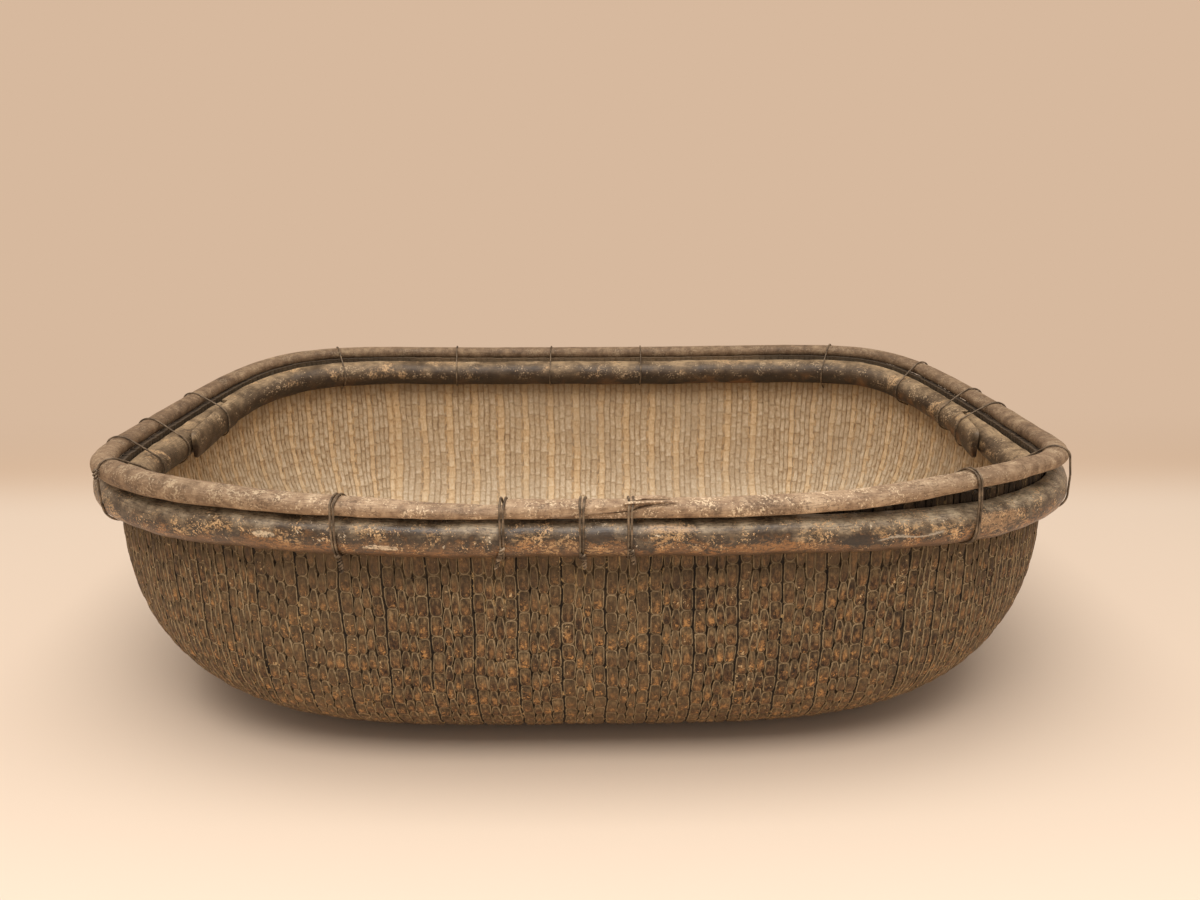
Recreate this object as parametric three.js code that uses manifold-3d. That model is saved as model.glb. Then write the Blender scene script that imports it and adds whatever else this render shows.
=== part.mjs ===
// Harvest basket: a shallow tray of woven willow rods, bound between bent pole hoops by wire ties.
// Millimetres, +Z up, +X along the basket. The origin is the middle of the flat underside.

import * as THREE from "three";
import { mergeVertices } from "three/addons/utils/BufferGeometryUtils.js";
import Module from "manifold-3d";

const wasm = await Module();
wasm.setup();

// Woven body: its outline is a superellipse at every height
const rimLength = 690; // outside of the woven wall, at the rim
const rimWidth = 474;
const rimSquareness = 3.2; // 2 is an ellipse, more is squarer
const floorLength = 450; // flat stretch of the underside
const floorWidth = 316;
const floorSquareness = 3.9;
const basketHeight = 200; // underside to the top of the raised corners
const longSideDip = 7; // the rim sinks this far between its corners
const endDip = 14.5;
const endRise = 2.87; // how low the end walls stay upright below the hoops
const endTurn = 0.83; // how sharply they turn under
const sideRise = 5.05;
const sideTurn = 0.69;
const wallThickness = 8;
const grooveDepth = 1.5; // furrow between rods
const innerGrooveDepth = 1.2; // the same furrow on the inside of the basket
const rodGap = 0.3; // between neighbouring bundles of rods

// Bundles of rods
const strakeCount = 15; // from the front rim, under the floor, to the back rim
const strakeShoulder = 4.5; // from a strake's edge to its flat crest
const fanCount = 9; // round each end
const fanRidges = 3; // ridges on each bundle of a fan
const fanFloorReach = 20; // flat floor that the bundles of an end cover
const fanRootInset = 6; // along the last strake, from the floor's edge to the fan's first rods

// Hoops, each a bent pole
const outerHoopHeight = 24;
const outerHoopThickness = 14;
const outerHoopDrop = 1.5; // below the underside of the top hoop
const outerHoopRightSag = 9.5; // at the corners, where it doesn't rise with the rim
const outerHoopLeftSag = 5.5;
const rightSagPower = 2; // more keeps the sag nearer the corner
const leftSagPower = 4;
const outerHoopLap = 60;
const outerHoopTip = 1.5;
const innerHoopHeight = 24;
const innerHoopThickness = 15;
const innerHoopDrop = 1.5;
const innerHoopTip = 6; // the blunt ends of the inner poles
const rightLapForward = 29; // inner poles' lap, from the middle of the right end
const rightLapBack = 36;
const leftLapForward = 16;
const leftLapBack = 87;
const topHoopWidth = 16;
const topHoopHeight = 11;
const topHoopOverhang = 5; // its middle line, outside the wall's outer face
const topHoopLap = 72;
const topHoopLapCentre = 14.5; // right of the middle of the front
const topHoopTip = 1.5;
const topHoopLift = 2; // it springs up off the wall near the right front corner
const topHoopLiftAlong = 250; // along the rim from the middle of the front
const topHoopLiftReach = 60;
const topHoopSwell = 0.8; // over the left front corner it is thicker, by this share of the outer hoop's sag
const topHoopSwellShift = 0.55; // share of the swelling that it lies further out, off the wall
const topHoopHollow = 3.6; // whittled off its top, left of the lap
const topHoopHollowStart = 150; // along the rim to the left of the middle of the front
const topHoopHollowEnd = 47;
const topHoopHollowStep = 2;
const hoopGap = 0.6; // between a hoop and the wall
const seatGap = 0.3; // between the top hoop and the rods' ends
const lapGap = 0.3; // between the two tips of a lap
const hair = 1e-6; // for comparing places along the rim

// Wire ties
const wireDiameter = 1.8;
const wirePitch = 2.6; // between neighbouring turns
const wireGap = 0.6; // between a tie and what it binds
const slotGap = 0.5; // between a tie and the rods that it passes through

// Which bundle's rods a tie passes through, and how far across the bundle. Strakes are counted
// from the left, and the bundles of an end anticlockwise from above.
const ties = [
  { name: "tie_front_1", side: "front", bundle: 3, share: 0.21, turns: 2 },
  { name: "tie_front_2", side: "front", bundle: 6, share: 0.79, turns: 2 },
  { name: "tie_front_3", side: "front", bundle: 8, share: 0.5, turns: 2 },
  { name: "tie_front_4", side: "front", bundle: 9, share: 0.54, turns: 2 },
  { name: "tie_right_1", side: "right", bundle: 1, share: 0.52, turns: 2 },
  { name: "tie_right_2", side: "right", bundle: 3, share: 0.14, turns: 1 },
  { name: "tie_right_3", side: "right", bundle: 5, share: 0.71, turns: 1 },
  { name: "tie_right_4", side: "right", bundle: 6, share: 0.46, turns: 1 },
  { name: "tie_right_5", side: "right", bundle: 7, share: 0.7, turns: 1 },
  { name: "tie_right_6", side: "right", bundle: 9, share: 0.22, turns: 1 },
  { name: "tie_back_1", side: "back", bundle: 10, share: 0.68, turns: 1 },
  { name: "tie_back_2", side: "back", bundle: 7, share: 0.2, turns: 1 },
  { name: "tie_back_3", side: "back", bundle: 3, share: 0.56, turns: 1 },
  { name: "tie_left_1", side: "left", bundle: 1, share: 0.78, turns: 1 },
  { name: "tie_left_2", side: "left", bundle: 4, share: 0.53, turns: 1 },
  { name: "tie_left_3", side: "left", bundle: 5, share: 0.84, turns: 1 },
  { name: "tie_left_4", side: "left", bundle: 6, share: 0.75, turns: 1 },
  { name: "tie_left_5", side: "left", bundle: 8, share: 0.29, turns: 1 },
];

// Fineness of the facets
const wallSteps = 6;
const rimSamples = 1440;
const halfRoundSteps = 5;
const topHoopSides = 8;
const wireSides = 5;
const wireSteps = 20; // to each turn
const closestStations = 1.8; // no two sections of a hoop are nearer than this
const outlineHalvings = 40; // to find where a line meets an outline

const rodMaterial = new THREE.MeshStandardMaterial({ color: 0x5f4a35, roughness: 0.8, metalness: 0 });
const hoopMaterial = new THREE.MeshStandardMaterial({ color: 0x4b4034, roughness: 0.6, metalness: 0 });
const topHoopMaterial = new THREE.MeshStandardMaterial({ color: 0x75624e, roughness: 0.75, metalness: 0 });
const wireMaterial = new THREE.MeshStandardMaterial({ color: 0x3a322b, roughness: 0.55, metalness: 0.8 });

// Outline of the woven body, from level 0 at the rods' top ends to level 1 at the floor
const wallTopDrop = topHoopHeight + seatGap; // rods' top ends, below the top of the rim
const clampDepth = Math.max(outerHoopDrop + outerHoopHeight, innerHoopDrop + innerHoopHeight);
const clampLevel = clampDepth / (basketHeight - Math.max(endDip, longSideDip) - wallTopDrop);

function runIn(share, rise, turn) {
  return 1 - (1 - share ** rise) ** turn;
}

// The hoops hold the wall upright, and it turns in below them
function outlineAt(level) {
  const share = Math.max(0, (level - clampLevel) / (1 - clampLevel));
  return {
    length: (rimLength - (rimLength - floorLength) * runIn(share, endRise, endTurn)) / 2,
    width: (rimWidth - (rimWidth - floorWidth) * runIn(share, sideRise, sideTurn)) / 2,
    square: rimSquareness + (floorSquareness - rimSquareness) * share ** 2,
  };
}

// Less than 1 inside an outline, more than 1 outside it
function spread(outline, x, y) {
  return Math.abs(x / outline.length) ** outline.square + Math.abs(y / outline.width) ** outline.square;
}

// The rim is walked by its length, anticlockwise from the middle of the front
const rim = outlineAt(0);
const rimTable = [];
for (let i = 0; i <= rimSamples; i++) {
  const angle = (2 * Math.PI * i) / rimSamples - Math.PI / 2;
  const point = new THREE.Vector2(Math.cos(angle), Math.sin(angle));
  point.divideScalar(spread(rim, point.x, point.y) ** (1 / rim.square));
  const last = rimTable[i - 1];
  rimTable.push({ point, along: last ? last.along + point.distanceTo(last.point) : 0 });
}
const rimPerimeter = rimTable[rimSamples].along;
const sideMiddle = {
  front: 0,
  right: rimPerimeter / 4,
  back: rimPerimeter / 2,
  left: (3 * rimPerimeter) / 4,
};

function rimSlope(value, half) {
  return (Math.sign(value) * Math.abs(value / half) ** (rim.square - 1)) / half;
}

function rimAt(along) {
  const wrapped = THREE.MathUtils.euclideanModulo(along, rimPerimeter);
  const next = rimTable.findIndex((row) => row.along > wrapped);
  const before = rimTable[next - 1];
  const after = rimTable[next];
  const share = (wrapped - before.along) / (after.along - before.along);
  const point = before.point.clone().lerp(after.point, share);
  const outward = new THREE.Vector2(rimSlope(point.x, rim.length), rimSlope(point.y, rim.width));
  return { along, point, outward: outward.normalize() };
}

// 0 in the middle of an end, a quarter of pi at a corner, half of pi in the middle of a long side
function rimTurn(point) {
  const across = Math.abs(point.y / rim.width) ** (rim.square / 2);
  const lengthwise = Math.abs(point.x / rim.length) ** (rim.square / 2);
  return Math.atan2(across, lengthwise);
}

// Top of the rim, which dips between its raised corners
function rimHeight(point) {
  const turn = rimTurn(point);
  const dip = turn < Math.PI / 4 ? endDip : longSideDip;
  return basketHeight - dip * Math.cos(2 * turn) ** 2;
}

// Distance along the rim between two places, the short way round
function rimDistance(alongA, alongB) {
  const apart = THREE.MathUtils.euclideanModulo(alongA - alongB, rimPerimeter);
  return Math.min(apart, rimPerimeter - apart);
}

// A closed solid through a row of rings, with an end face on its first and last ring
function loft(rings) {
  const count = rings[0].length;
  const faces = [];
  for (let r = 0; r + 1 < rings.length; r++) {
    for (let i = 0; i < count; i++) {
      const a = r * count + i;
      const b = r * count + ((i + 1) % count);
      faces.push(a, b, b + count, a, b + count, a + count);
    }
  }
  const zip = (start, flip) => {
    for (let low = 0, high = count - 1; high - low > 1; low++, high--) {
      const triangles = [[low, low + 1, high]];
      if (high - low > 2) triangles.push([low + 1, high - 1, high]);
      const turned = flip ? triangles.map(([a, b, c]) => [a, c, b]) : triangles;
      faces.push(...turned.flat().map((i) => start + i));
    }
  };
  zip(0, true);
  zip((rings.length - 1) * count, false);
  const points = rings.flat();
  const volume = (i) => points[faces[i]].dot(points[faces[i + 1]].clone().cross(points[faces[i + 2]]));
  let total = 0;
  for (let i = 0; i < faces.length; i += 3) total += volume(i);
  const geometry = new THREE.BufferGeometry().setFromPoints(points);
  geometry.setIndex(total > 0 ? faces : faces.reverse());
  return geometry;
}

function toSolid(geometry) {
  const bare = geometry.clone();
  bare.deleteAttribute("normal");
  bare.deleteAttribute("uv");
  const merged = mergeVertices(bare);
  const vertProperties = new Float32Array(merged.attributes.position.array);
  const triVerts = new Uint32Array(merged.index.array);
  return new wasm.Manifold(new wasm.Mesh({ numProp: 3, vertProperties, triVerts }));
}

function toGeometry(solid) {
  const { vertProperties, triVerts } = solid.getMesh();
  const geometry = new THREE.BufferGeometry();
  geometry.setAttribute("position", new THREE.BufferAttribute(vertProperties, 3));
  geometry.setIndex(new THREE.BufferAttribute(triVerts, 1));
  return geometry;
}

// Lines of the wall, each in an upright plane from the rim to the floor
const strakeReach = floorLength / 2 - fanFloorReach;
const strakeWidth = (2 * strakeReach) / strakeCount;

function strakeLine(x, side) {
  const pointAt = (outline) => {
    const share = 1 - Math.abs(x / outline.length) ** outline.square;
    return new THREE.Vector2(x, side * outline.width * share ** (1 / outline.square));
  };
  return { inward: new THREE.Vector2(0, -side), pointAt };
}

function fanLine(rimPoint, rootPoint, shift) {
  const outward = rimPoint.clone().sub(rootPoint).normalize();
  const root = rootPoint.clone().addScaledVector(new THREE.Vector2(-outward.y, outward.x), shift);
  const pointAt = (outline) => {
    let inside = 0;
    let outside = rimLength;
    for (let halving = 0; halving < outlineHalvings; halving++) {
      const middle = (inside + outside) / 2;
      const point = root.clone().addScaledVector(outward, middle);
      if (spread(outline, point.x, point.y) < 1) inside = middle;
      else outside = middle;
    }
    return root.clone().addScaledVector(outward, inside);
  };
  return { inward: outward.clone().negate(), pointAt, root };
}

// Points of the outer face down a line, each with the direction to the inside of the basket
const levels = [0];
for (let i = 0; i <= wallSteps; i++) levels.push(1 - (1 - clampLevel) * (1 - i / wallSteps) ** 2);
const lastLevel = levels.length - 1;

function wallProfile(line) {
  const points = levels.map((level) => line.pointAt(outlineAt(level)));
  const top = rimHeight(points[0]) - wallTopDrop;
  const runs = points.map((point) => point.clone().sub(points[0]).dot(line.inward));
  const profile = levels.map((level, i) => {
    const slope = new THREE.Vector2(0, -1);
    if (i === lastLevel) slope.set(1, 0);
    else if (i > 0) slope.set(runs[i + 1] - runs[i - 1], top * (levels[i - 1] - levels[i + 1]));
    slope.normalize();
    const inside = new THREE.Vector3(-line.inward.x * slope.y, -line.inward.y * slope.y, slope.x);
    return { outer: new THREE.Vector3(points[i].x, points[i].y, top * (1 - level)), inside };
  });
  if (line.root) {
    const root = new THREE.Vector3(line.root.x, line.root.y, 0);
    profile.push({ outer: root, inside: new THREE.Vector3(0, 0, 1) });
  }
  return profile;
}

// One ring of a bundle: its outer face, then its inner face the other way.
// A furrow is 1 between two rods and 0 on a crest.
function bundleRing(profiles, furrows, step) {
  const at = (profile, depth) => profile[step].outer.clone().addScaledVector(profile[step].inside, depth);
  const outer = profiles.map((profile, i) => at(profile, furrows[i] * grooveDepth));
  const inner = profiles.map((profile, i) => at(profile, wallThickness - furrows[i] * innerGrooveDepth));
  return [...outer, ...inner.reverse()];
}

function makeStrake(index) {
  const left = index * strakeWidth - strakeReach + rodGap / 2;
  const right = left + strakeWidth - rodGap;
  const places = [left, left + strakeShoulder, right - strakeShoulder, right];
  const furrows = [1, 0, 0, 1];
  const front = places.map((x) => wallProfile(strakeLine(x, -1)));
  const back = places.map((x) => wallProfile(strakeLine(x, 1)));
  const down = levels.map((_, step) => bundleRing(front, furrows, step));
  const up = levels.map((_, step) => bundleRing(back, furrows, lastLevel - step));
  return loft([...down, ...up]);
}

// How far along the rim from the middle of the front a strake's line starts
function strakeAlong(x) {
  const reach = Math.abs(x);
  const next = rimTable.findIndex((row, i) => i > 0 && row.point.x > reach);
  const before = rimTable[next - 1];
  const after = rimTable[next];
  const share = (reach - before.point.x) / (after.point.x - before.point.x);
  return Math.sign(x) * THREE.MathUtils.lerp(before.along, after.along, share);
}

// Fans run round the ends, between the outermost strakes
const fanLength = rimPerimeter / 2 - 2 * strakeAlong(strakeReach);
const ridgeLength = fanLength / (fanCount * fanRidges * 2);

function fanAlong(side, ridge) {
  return sideMiddle[side] - fanLength / 2 + ridge * ridgeLength;
}

// The fan's rods end on the floor, in a row along the last strake
const fanRootReach = strakeLine(strakeReach, 1).pointAt(outlineAt(1)).y - fanRootInset;

function fanRoot(side, ridge) {
  const share = ridge / (fanCount * fanRidges * 2);
  const root = new THREE.Vector2(strakeReach + rodGap / 2, (2 * share - 1) * fanRootReach);
  return side === "right" ? root : root.negate();
}

function makeFanBundle(side, index) {
  const ridgeSteps = fanRidges * 2;
  const profiles = [];
  const furrows = [];
  for (let i = 0; i <= ridgeSteps; i++) {
    const ridge = index * ridgeSteps + i;
    const rimPoint = rimAt(fanAlong(side, ridge)).point;
    const shift = i === 0 ? rodGap / 2 : i === ridgeSteps ? -rodGap / 2 : 0;
    profiles.push(wallProfile(fanLine(rimPoint, fanRoot(side, ridge), shift)));
    furrows.push(i % 2 === 0 ? 1 : 0);
  }
  return loft(profiles[0].map((_, step) => bundleRing(profiles, furrows, step)));
}

// Hoops: sections are drawn as distance out from the wall's outer face, and height
function place(station, section) {
  const { point, outward } = station;
  return section.map((p) => new THREE.Vector3(point.x + outward.x * p.x, point.y + outward.y * p.x, p.y));
}

function halfRound(base, depth, middle, height) {
  return Array.from({ length: halfRoundSteps + 1 }, (_, i) => {
    const angle = Math.PI * (i / halfRoundSteps - 0.5);
    return new THREE.Vector2(base + depth * Math.cos(angle), middle + (height / 2) * Math.sin(angle));
  });
}

function oval(middle, height, width, shift) {
  return Array.from({ length: topHoopSides }, (_, i) => {
    const angle = (2 * Math.PI * (i + 0.5)) / topHoopSides;
    const out = topHoopOverhang + shift + (width / 2) * Math.cos(angle);
    return new THREE.Vector2(out, middle + (height / 2) * Math.sin(angle));
  });
}

const hoopPlaces = [];
for (const side of ["front", "back"]) {
  for (let i = 0; i < strakeCount; i++) {
    hoopPlaces.push(sideMiddle[side] + (i - (strakeCount - 1) / 2) * strakeWidth);
  }
}
for (const side of ["left", "right"]) {
  for (let i = 0; i <= fanCount * fanRidges * 2; i++) hoopPlaces.push(fanAlong(side, i));
}

// The hoop's stations from one end of the pole to the other, with its lap's ends among them
function stationsBetween(from, to, ...extra) {
  const fixed = [from, to, ...extra];
  const between = hoopPlaces
    .flatMap((along) => [-1, 0, 1, 2].map((turns) => along + turns * rimPerimeter))
    .filter((along) => along > from && along < to)
    .filter((along) => fixed.every((other) => Math.abs(other - along) > closestStations));
  return [...fixed, ...between].sort((a, b) => a - b).map(rimAt);
}

// Depths of the two poles in a lap: the wall side's pole thins out as share goes from 0 to 1
function lapDepths(share, thickness, tip) {
  const wallSide = thickness - (thickness - tip) * share;
  const freeSide = tip + (thickness - 2 * tip - lapGap) * share;
  return { wallSide, freeSide, freeBase: wallSide + lapGap };
}

function outerHoopSag(station) {
  const corner = Math.sin(2 * rimTurn(station.point));
  return station.point.x < 0 ? outerHoopLeftSag * corner ** leftSagPower : outerHoopRightSag * corner ** rightSagPower;
}

function outerHoopMiddle(station) {
  const top = rimHeight(station.point) - topHoopHeight - outerHoopDrop - outerHoopSag(station);
  return top - outerHoopHeight / 2;
}

function innerHoopMiddle(station) {
  return rimHeight(station.point) - topHoopHeight - innerHoopDrop - innerHoopHeight / 2;
}

function topHoopRise(station) {
  const away = rimDistance(station.along, topHoopLiftAlong) / topHoopLiftReach;
  return topHoopLift * Math.exp(-away * away);
}

// Lowest and highest points of the top hoop's section, and how far out the section is moved
function topHoopSpan(station) {
  const { x, y } = station.point;
  const swell = x < 0 && y < 0 ? topHoopSwell * outerHoopSag(station) : 0;
  const high = rimHeight(station.point) + topHoopRise(station);
  return { low: high - topHoopHeight - swell, high, shift: swell * topHoopSwellShift };
}

function topHoopCut(along) {
  const toEnd = rimPerimeter - topHoopHollowEnd - along;
  if (toEnd < -hair) return 0;
  return topHoopHollow * THREE.MathUtils.smoothstep(-toEnd, topHoopHollowEnd - topHoopHollowStart, 0);
}

// Where the poles lap, from the wall side's full pole to its tip
const outerLap = { from: sideMiddle.back + outerHoopLap / 2, to: sideMiddle.back - outerHoopLap / 2 };
const rightLap = { from: sideMiddle.right - rightLapForward, to: sideMiddle.right + rightLapBack };
const leftLap = { from: sideMiddle.left + leftLapForward, to: sideMiddle.left - leftLapBack };

function lapShare(lap, along) {
  const share = (THREE.MathUtils.euclideanModulo(along, rimPerimeter) - lap.from) / (lap.to - lap.from);
  return share > -hair && share < 1 + hair ? share : null;
}

// Sections of the poles at a place: one, or in a lap the wall side's and then the free side's
function poleSections(share, pole) {
  const { side, base, thickness, tip, middle, height } = pole;
  if (share === null) return [halfRound(side * base, side * thickness, middle, height)];
  const { wallSide, freeSide, freeBase } = lapDepths(share, thickness, tip);
  return [
    halfRound(side * base, side * wallSide, middle, height),
    halfRound(side * (base + freeBase), side * freeSide, middle, height),
  ];
}

function outerPoles(station) {
  return poleSections(lapShare(outerLap, station.along), {
    side: 1,
    base: hoopGap,
    thickness: outerHoopThickness,
    tip: outerHoopTip,
    middle: outerHoopMiddle(station),
    height: outerHoopHeight,
  });
}

function innerPoles(station) {
  const share = lapShare(rightLap, station.along) ?? lapShare(leftLap, station.along);
  return poleSections(share, {
    side: -1,
    base: wallThickness + hoopGap,
    thickness: innerHoopThickness,
    tip: innerHoopTip,
    middle: innerHoopMiddle(station),
    height: innerHoopHeight,
  });
}

// One pole, lapped on itself at the back
function makeOuterHoop() {
  const start = outerLap.to;
  const end = outerLap.from + rimPerimeter;
  const lapped = outerLap.to + rimPerimeter;
  const stations = stationsBetween(start, end, outerLap.from, lapped);
  const rings = stations.map((station) => {
    const poles = outerPoles(station);
    return place(station, station.along < lapped - hair ? poles.at(0) : poles.at(-1));
  });
  return loft(rings);
}

// Inner poles: the front one's ends lie next to the wall, and the back one's lap over them
function makeInnerHoopFront() {
  const start = leftLap.to - rimPerimeter;
  const stations = stationsBetween(start, rightLap.to, leftLap.from - rimPerimeter, rightLap.from);
  return loft(stations.map((station) => place(station, innerPoles(station).at(0))));
}

function makeInnerHoopBack() {
  const stations = stationsBetween(rightLap.from, leftLap.from, rightLap.to, leftLap.to);
  return loft(stations.map((station) => place(station, innerPoles(station).at(-1))));
}

// One pole, its end from the left lying on its end from the right
function makeTopHoop() {
  const start = sideMiddle.front + topHoopLapCentre - topHoopLap / 2;
  const end = start + rimPerimeter + topHoopLap;
  const hollowEnd = rimPerimeter - topHoopHollowEnd;
  const marks = [start + topHoopLap, end - topHoopLap, hollowEnd, hollowEnd + topHoopHollowStep];
  const rings = stationsBetween(start, end, ...marks).map((station) => {
    const fromStart = (station.along - start) / topHoopLap;
    const toEnd = (end - station.along) / topHoopLap;
    let { low, high, shift } = topHoopSpan(station);
    high -= topHoopCut(station.along);
    const slack = topHoopHeight - 2 * topHoopTip - lapGap;
    if (fromStart < 1) high = low + topHoopTip + slack * fromStart;
    if (toEnd <= 1) low = high - topHoopTip - slack * toEnd;
    const width = topHoopWidth * Math.sqrt(Math.min((high - low) / topHoopHeight, 1));
    return place(station, oval((low + high) / 2, high - low, width, shift));
  });
  return loft(rings);
}

// Ties: a wire wound round all the hoops, through the rods below them
function tieAlong({ side, bundle, share }) {
  if (side === "left" || side === "right") return fanAlong(side, (bundle - 1 + share) * fanRidges * 2);
  const along = strakeAlong((bundle - 1 + share) * strakeWidth - strakeReach);
  return side === "front" ? along : sideMiddle.back - along;
}

function boundSections(tie) {
  const station = rimAt(tieAlong(tie));
  const halfWidth = (tie.turns * wirePitch + wireDiameter) / 2;
  const nearby = [-halfWidth, 0, halfWidth].map((offset) => rimAt(station.along + offset));
  const sections = nearby.flatMap((spot) => {
    const { low, high, shift } = topHoopSpan(spot);
    const top = oval((low + high) / 2, high - low, topHoopWidth, shift);
    return [...outerPoles(spot).flat(), ...innerPoles(spot).flat(), ...top];
  });
  return { station, sections };
}

// Corners of the many-sided loop that just clears the sections, from its lowest outer corner up
function tieLoop(sections) {
  const clearance = wireGap + wireDiameter / 2;
  const step = (2 * Math.PI) / wireSteps;
  const sides = Array.from({ length: wireSteps }, (_, i) => {
    const out = new THREE.Vector2(Math.cos(i * step - Math.PI / 2), Math.sin(i * step - Math.PI / 2));
    return { out, reach: Math.max(...sections.map((p) => p.dot(out))) + clearance };
  });
  return sides.map(({ out, reach }, i) => {
    const next = sides[(i + 1) % wireSteps];
    const sideways = (next.reach - reach * Math.cos(step)) / Math.sin(step);
    return new THREE.Vector2(out.x * reach - out.y * sideways, out.y * reach + out.x * sideways);
  });
}

function tiePath(tie) {
  const { station, sections } = boundSections(tie);
  const loop = tieLoop(sections);
  const sideways = new THREE.Vector3(-station.outward.y, station.outward.x, 0);
  const path = [];
  for (let i = 0; i <= tie.turns * wireSteps; i++) {
    const [point] = place(station, [loop[i % wireSteps]]);
    path.push(point.addScaledVector(sideways, wirePitch * (i / wireSteps - tie.turns / 2)));
  }
  return { path, sideways, station, loop };
}

function makeTie({ path, sideways }) {
  const rings = path.map((point, i) => {
    const ahead = path[Math.min(i + 1, path.length - 1)];
    const behind = path[Math.max(i - 1, 0)];
    const across = ahead.clone().sub(behind).cross(sideways).normalize();
    return Array.from({ length: wireSides }, (_, side) => {
      const angle = (2 * Math.PI * side) / wireSides;
      const offset = sideways.clone().multiplyScalar(Math.cos(angle));
      offset.addScaledVector(across, Math.sin(angle));
      return point.clone().addScaledVector(offset, wireDiameter / 2);
    });
  });
  return loft(rings);
}

// Height of a loop's underside, at a distance out from the wall's outer face
function undersideAt(loop, out) {
  const crossings = loop.flatMap((point, i) => {
    const next = loop[(i + 1) % loop.length];
    if ((point.x - out) * (next.x - out) > 0) return [];
    return THREE.MathUtils.mapLinear(out, point.x, next.x, point.y, next.y);
  });
  return Math.min(...crossings);
}

// The hole that a tie needs through the rods, along the loop's underside
function makeSlot(tie, { station, loop }) {
  const outside = undersideAt(loop, 0);
  const inside = undersideAt(loop, -wallThickness);
  const middle = (outside + inside) / 2;
  const bow = Math.abs(undersideAt(loop, -wallThickness / 2) - middle);
  const width = tie.turns * wirePitch + wireDiameter + 2 * slotGap;
  const height = wireDiameter + 2 * slotGap + 2 * bow;
  const depth = 3 * wallThickness; // through the wall, with room to spare
  const geometry = new THREE.BoxGeometry(width, depth, height);
  const turn = Math.atan2(station.outward.y, station.outward.x) - Math.PI / 2;
  const centre = station.point.clone().addScaledVector(station.outward, -wallThickness / 2);
  geometry.rotateX(Math.atan2(outside - inside, wallThickness));
  geometry.rotateZ(turn);
  geometry.translate(centre.x, centre.y, middle);
  return geometry;
}

function leastGap(path) {
  let least = Infinity;
  for (let i = 0; i < path.length; i++) {
    for (let j = i + Math.floor(wireSteps / 2); j < path.length; j++) {
      least = Math.min(least, path[i].distanceTo(path[j]) - wireDiameter);
    }
  }
  return least;
}

function addMesh(group, name, geometry, material) {
  geometry.computeVertexNormals();
  const mesh = new THREE.Mesh(geometry, material);
  mesh.name = name;
  group.add(mesh);
}

// Assembly
const tiePaths = ties.map(tiePath);
const slots = ties.map((tie, i) => makeSlot(tie, tiePaths[i]));

function cutSlots(geometry) {
  geometry.computeBoundingBox();
  return slots.reduce((solid, slot) => {
    slot.computeBoundingBox();
    return slot.boundingBox.intersectsBox(geometry.boundingBox) ? solid.subtract(toSolid(slot)) : solid;
  }, toSolid(geometry));
}

const wovenBody = new THREE.Group();
for (let i = 0; i < strakeCount; i++) {
  addMesh(wovenBody, `willow_strake_${i + 1}`, toGeometry(cutSlots(makeStrake(i))), rodMaterial);
}
for (const side of ["left", "right"]) {
  for (let i = 0; i < fanCount; i++) {
    const bundle = cutSlots(makeFanBundle(side, i));
    addMesh(wovenBody, `willow_${side}_bundle_${i + 1}`, toGeometry(bundle), rodMaterial);
  }
}

const hoops = new THREE.Group();
addMesh(hoops, "outer_hoop", makeOuterHoop(), hoopMaterial);
addMesh(hoops, "inner_hoop_front", makeInnerHoopFront(), hoopMaterial);
addMesh(hoops, "inner_hoop_back", makeInnerHoopBack(), hoopMaterial);
addMesh(hoops, "top_hoop", makeTopHoop(), topHoopMaterial);

const wires = new THREE.Group();
ties.forEach((tie, i) => addMesh(wires, tie.name, makeTie(tiePaths[i]), wireMaterial));
const tightest = Math.min(...tiePaths.map(({ path }) => leastGap(path)));
console.log(`least gap between the turns of a tie: ${tightest.toFixed(2)} mm`);

const basket = new THREE.Group();
basket.add(wovenBody, hoops, wires);

export default basket;
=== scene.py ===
import math
import random

import bpy
import numpy as np
from mathutils import Matrix, Vector


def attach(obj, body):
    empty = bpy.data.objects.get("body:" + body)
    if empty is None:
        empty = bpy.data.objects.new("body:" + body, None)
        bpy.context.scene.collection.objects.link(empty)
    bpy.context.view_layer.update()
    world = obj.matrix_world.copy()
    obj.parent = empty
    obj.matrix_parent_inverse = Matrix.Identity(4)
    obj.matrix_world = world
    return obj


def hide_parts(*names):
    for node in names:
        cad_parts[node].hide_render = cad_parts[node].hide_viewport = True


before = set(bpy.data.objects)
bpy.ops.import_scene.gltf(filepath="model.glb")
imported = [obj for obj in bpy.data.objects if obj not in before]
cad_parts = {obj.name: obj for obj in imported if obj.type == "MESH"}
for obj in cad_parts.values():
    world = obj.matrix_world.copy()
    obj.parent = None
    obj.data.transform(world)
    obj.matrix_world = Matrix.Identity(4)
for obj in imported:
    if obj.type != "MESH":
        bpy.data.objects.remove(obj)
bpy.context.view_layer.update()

scene = bpy.context.scene
scene.view_settings.view_transform = "Standard"
fullTurn = 2 * math.pi
anyPhase = (0, 6.3)
millimetres = 1000  # in a metre

# Woven body, the sizes of the solids. All lengths are metres
basketShape = {
    "rimLength": 0.690,
    "rimWidth": 0.474,
    "rimSquareness": 3.2,
    "floorLength": 0.450,
    "floorWidth": 0.316,
    "floorSquareness": 3.9,
    "height": 0.200,
    "sideDip": 0.007,
    "endDip": 0.0145,
    "endRise": 2.87,
    "endTurn": 0.83,
    "sideRise": 5.05,
    "sideTurn": 0.69,
    "wall": 0.008,
    "wallTopDrop": 0.0113,
    "clampDepth": 0.0255,
    "strakeReach": 0.205,
    "strakeCount": 15,
    "fanCount": 9,
    "fanRootStart": 0.20515,
    "fanRootInset": 0.006,
}


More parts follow.
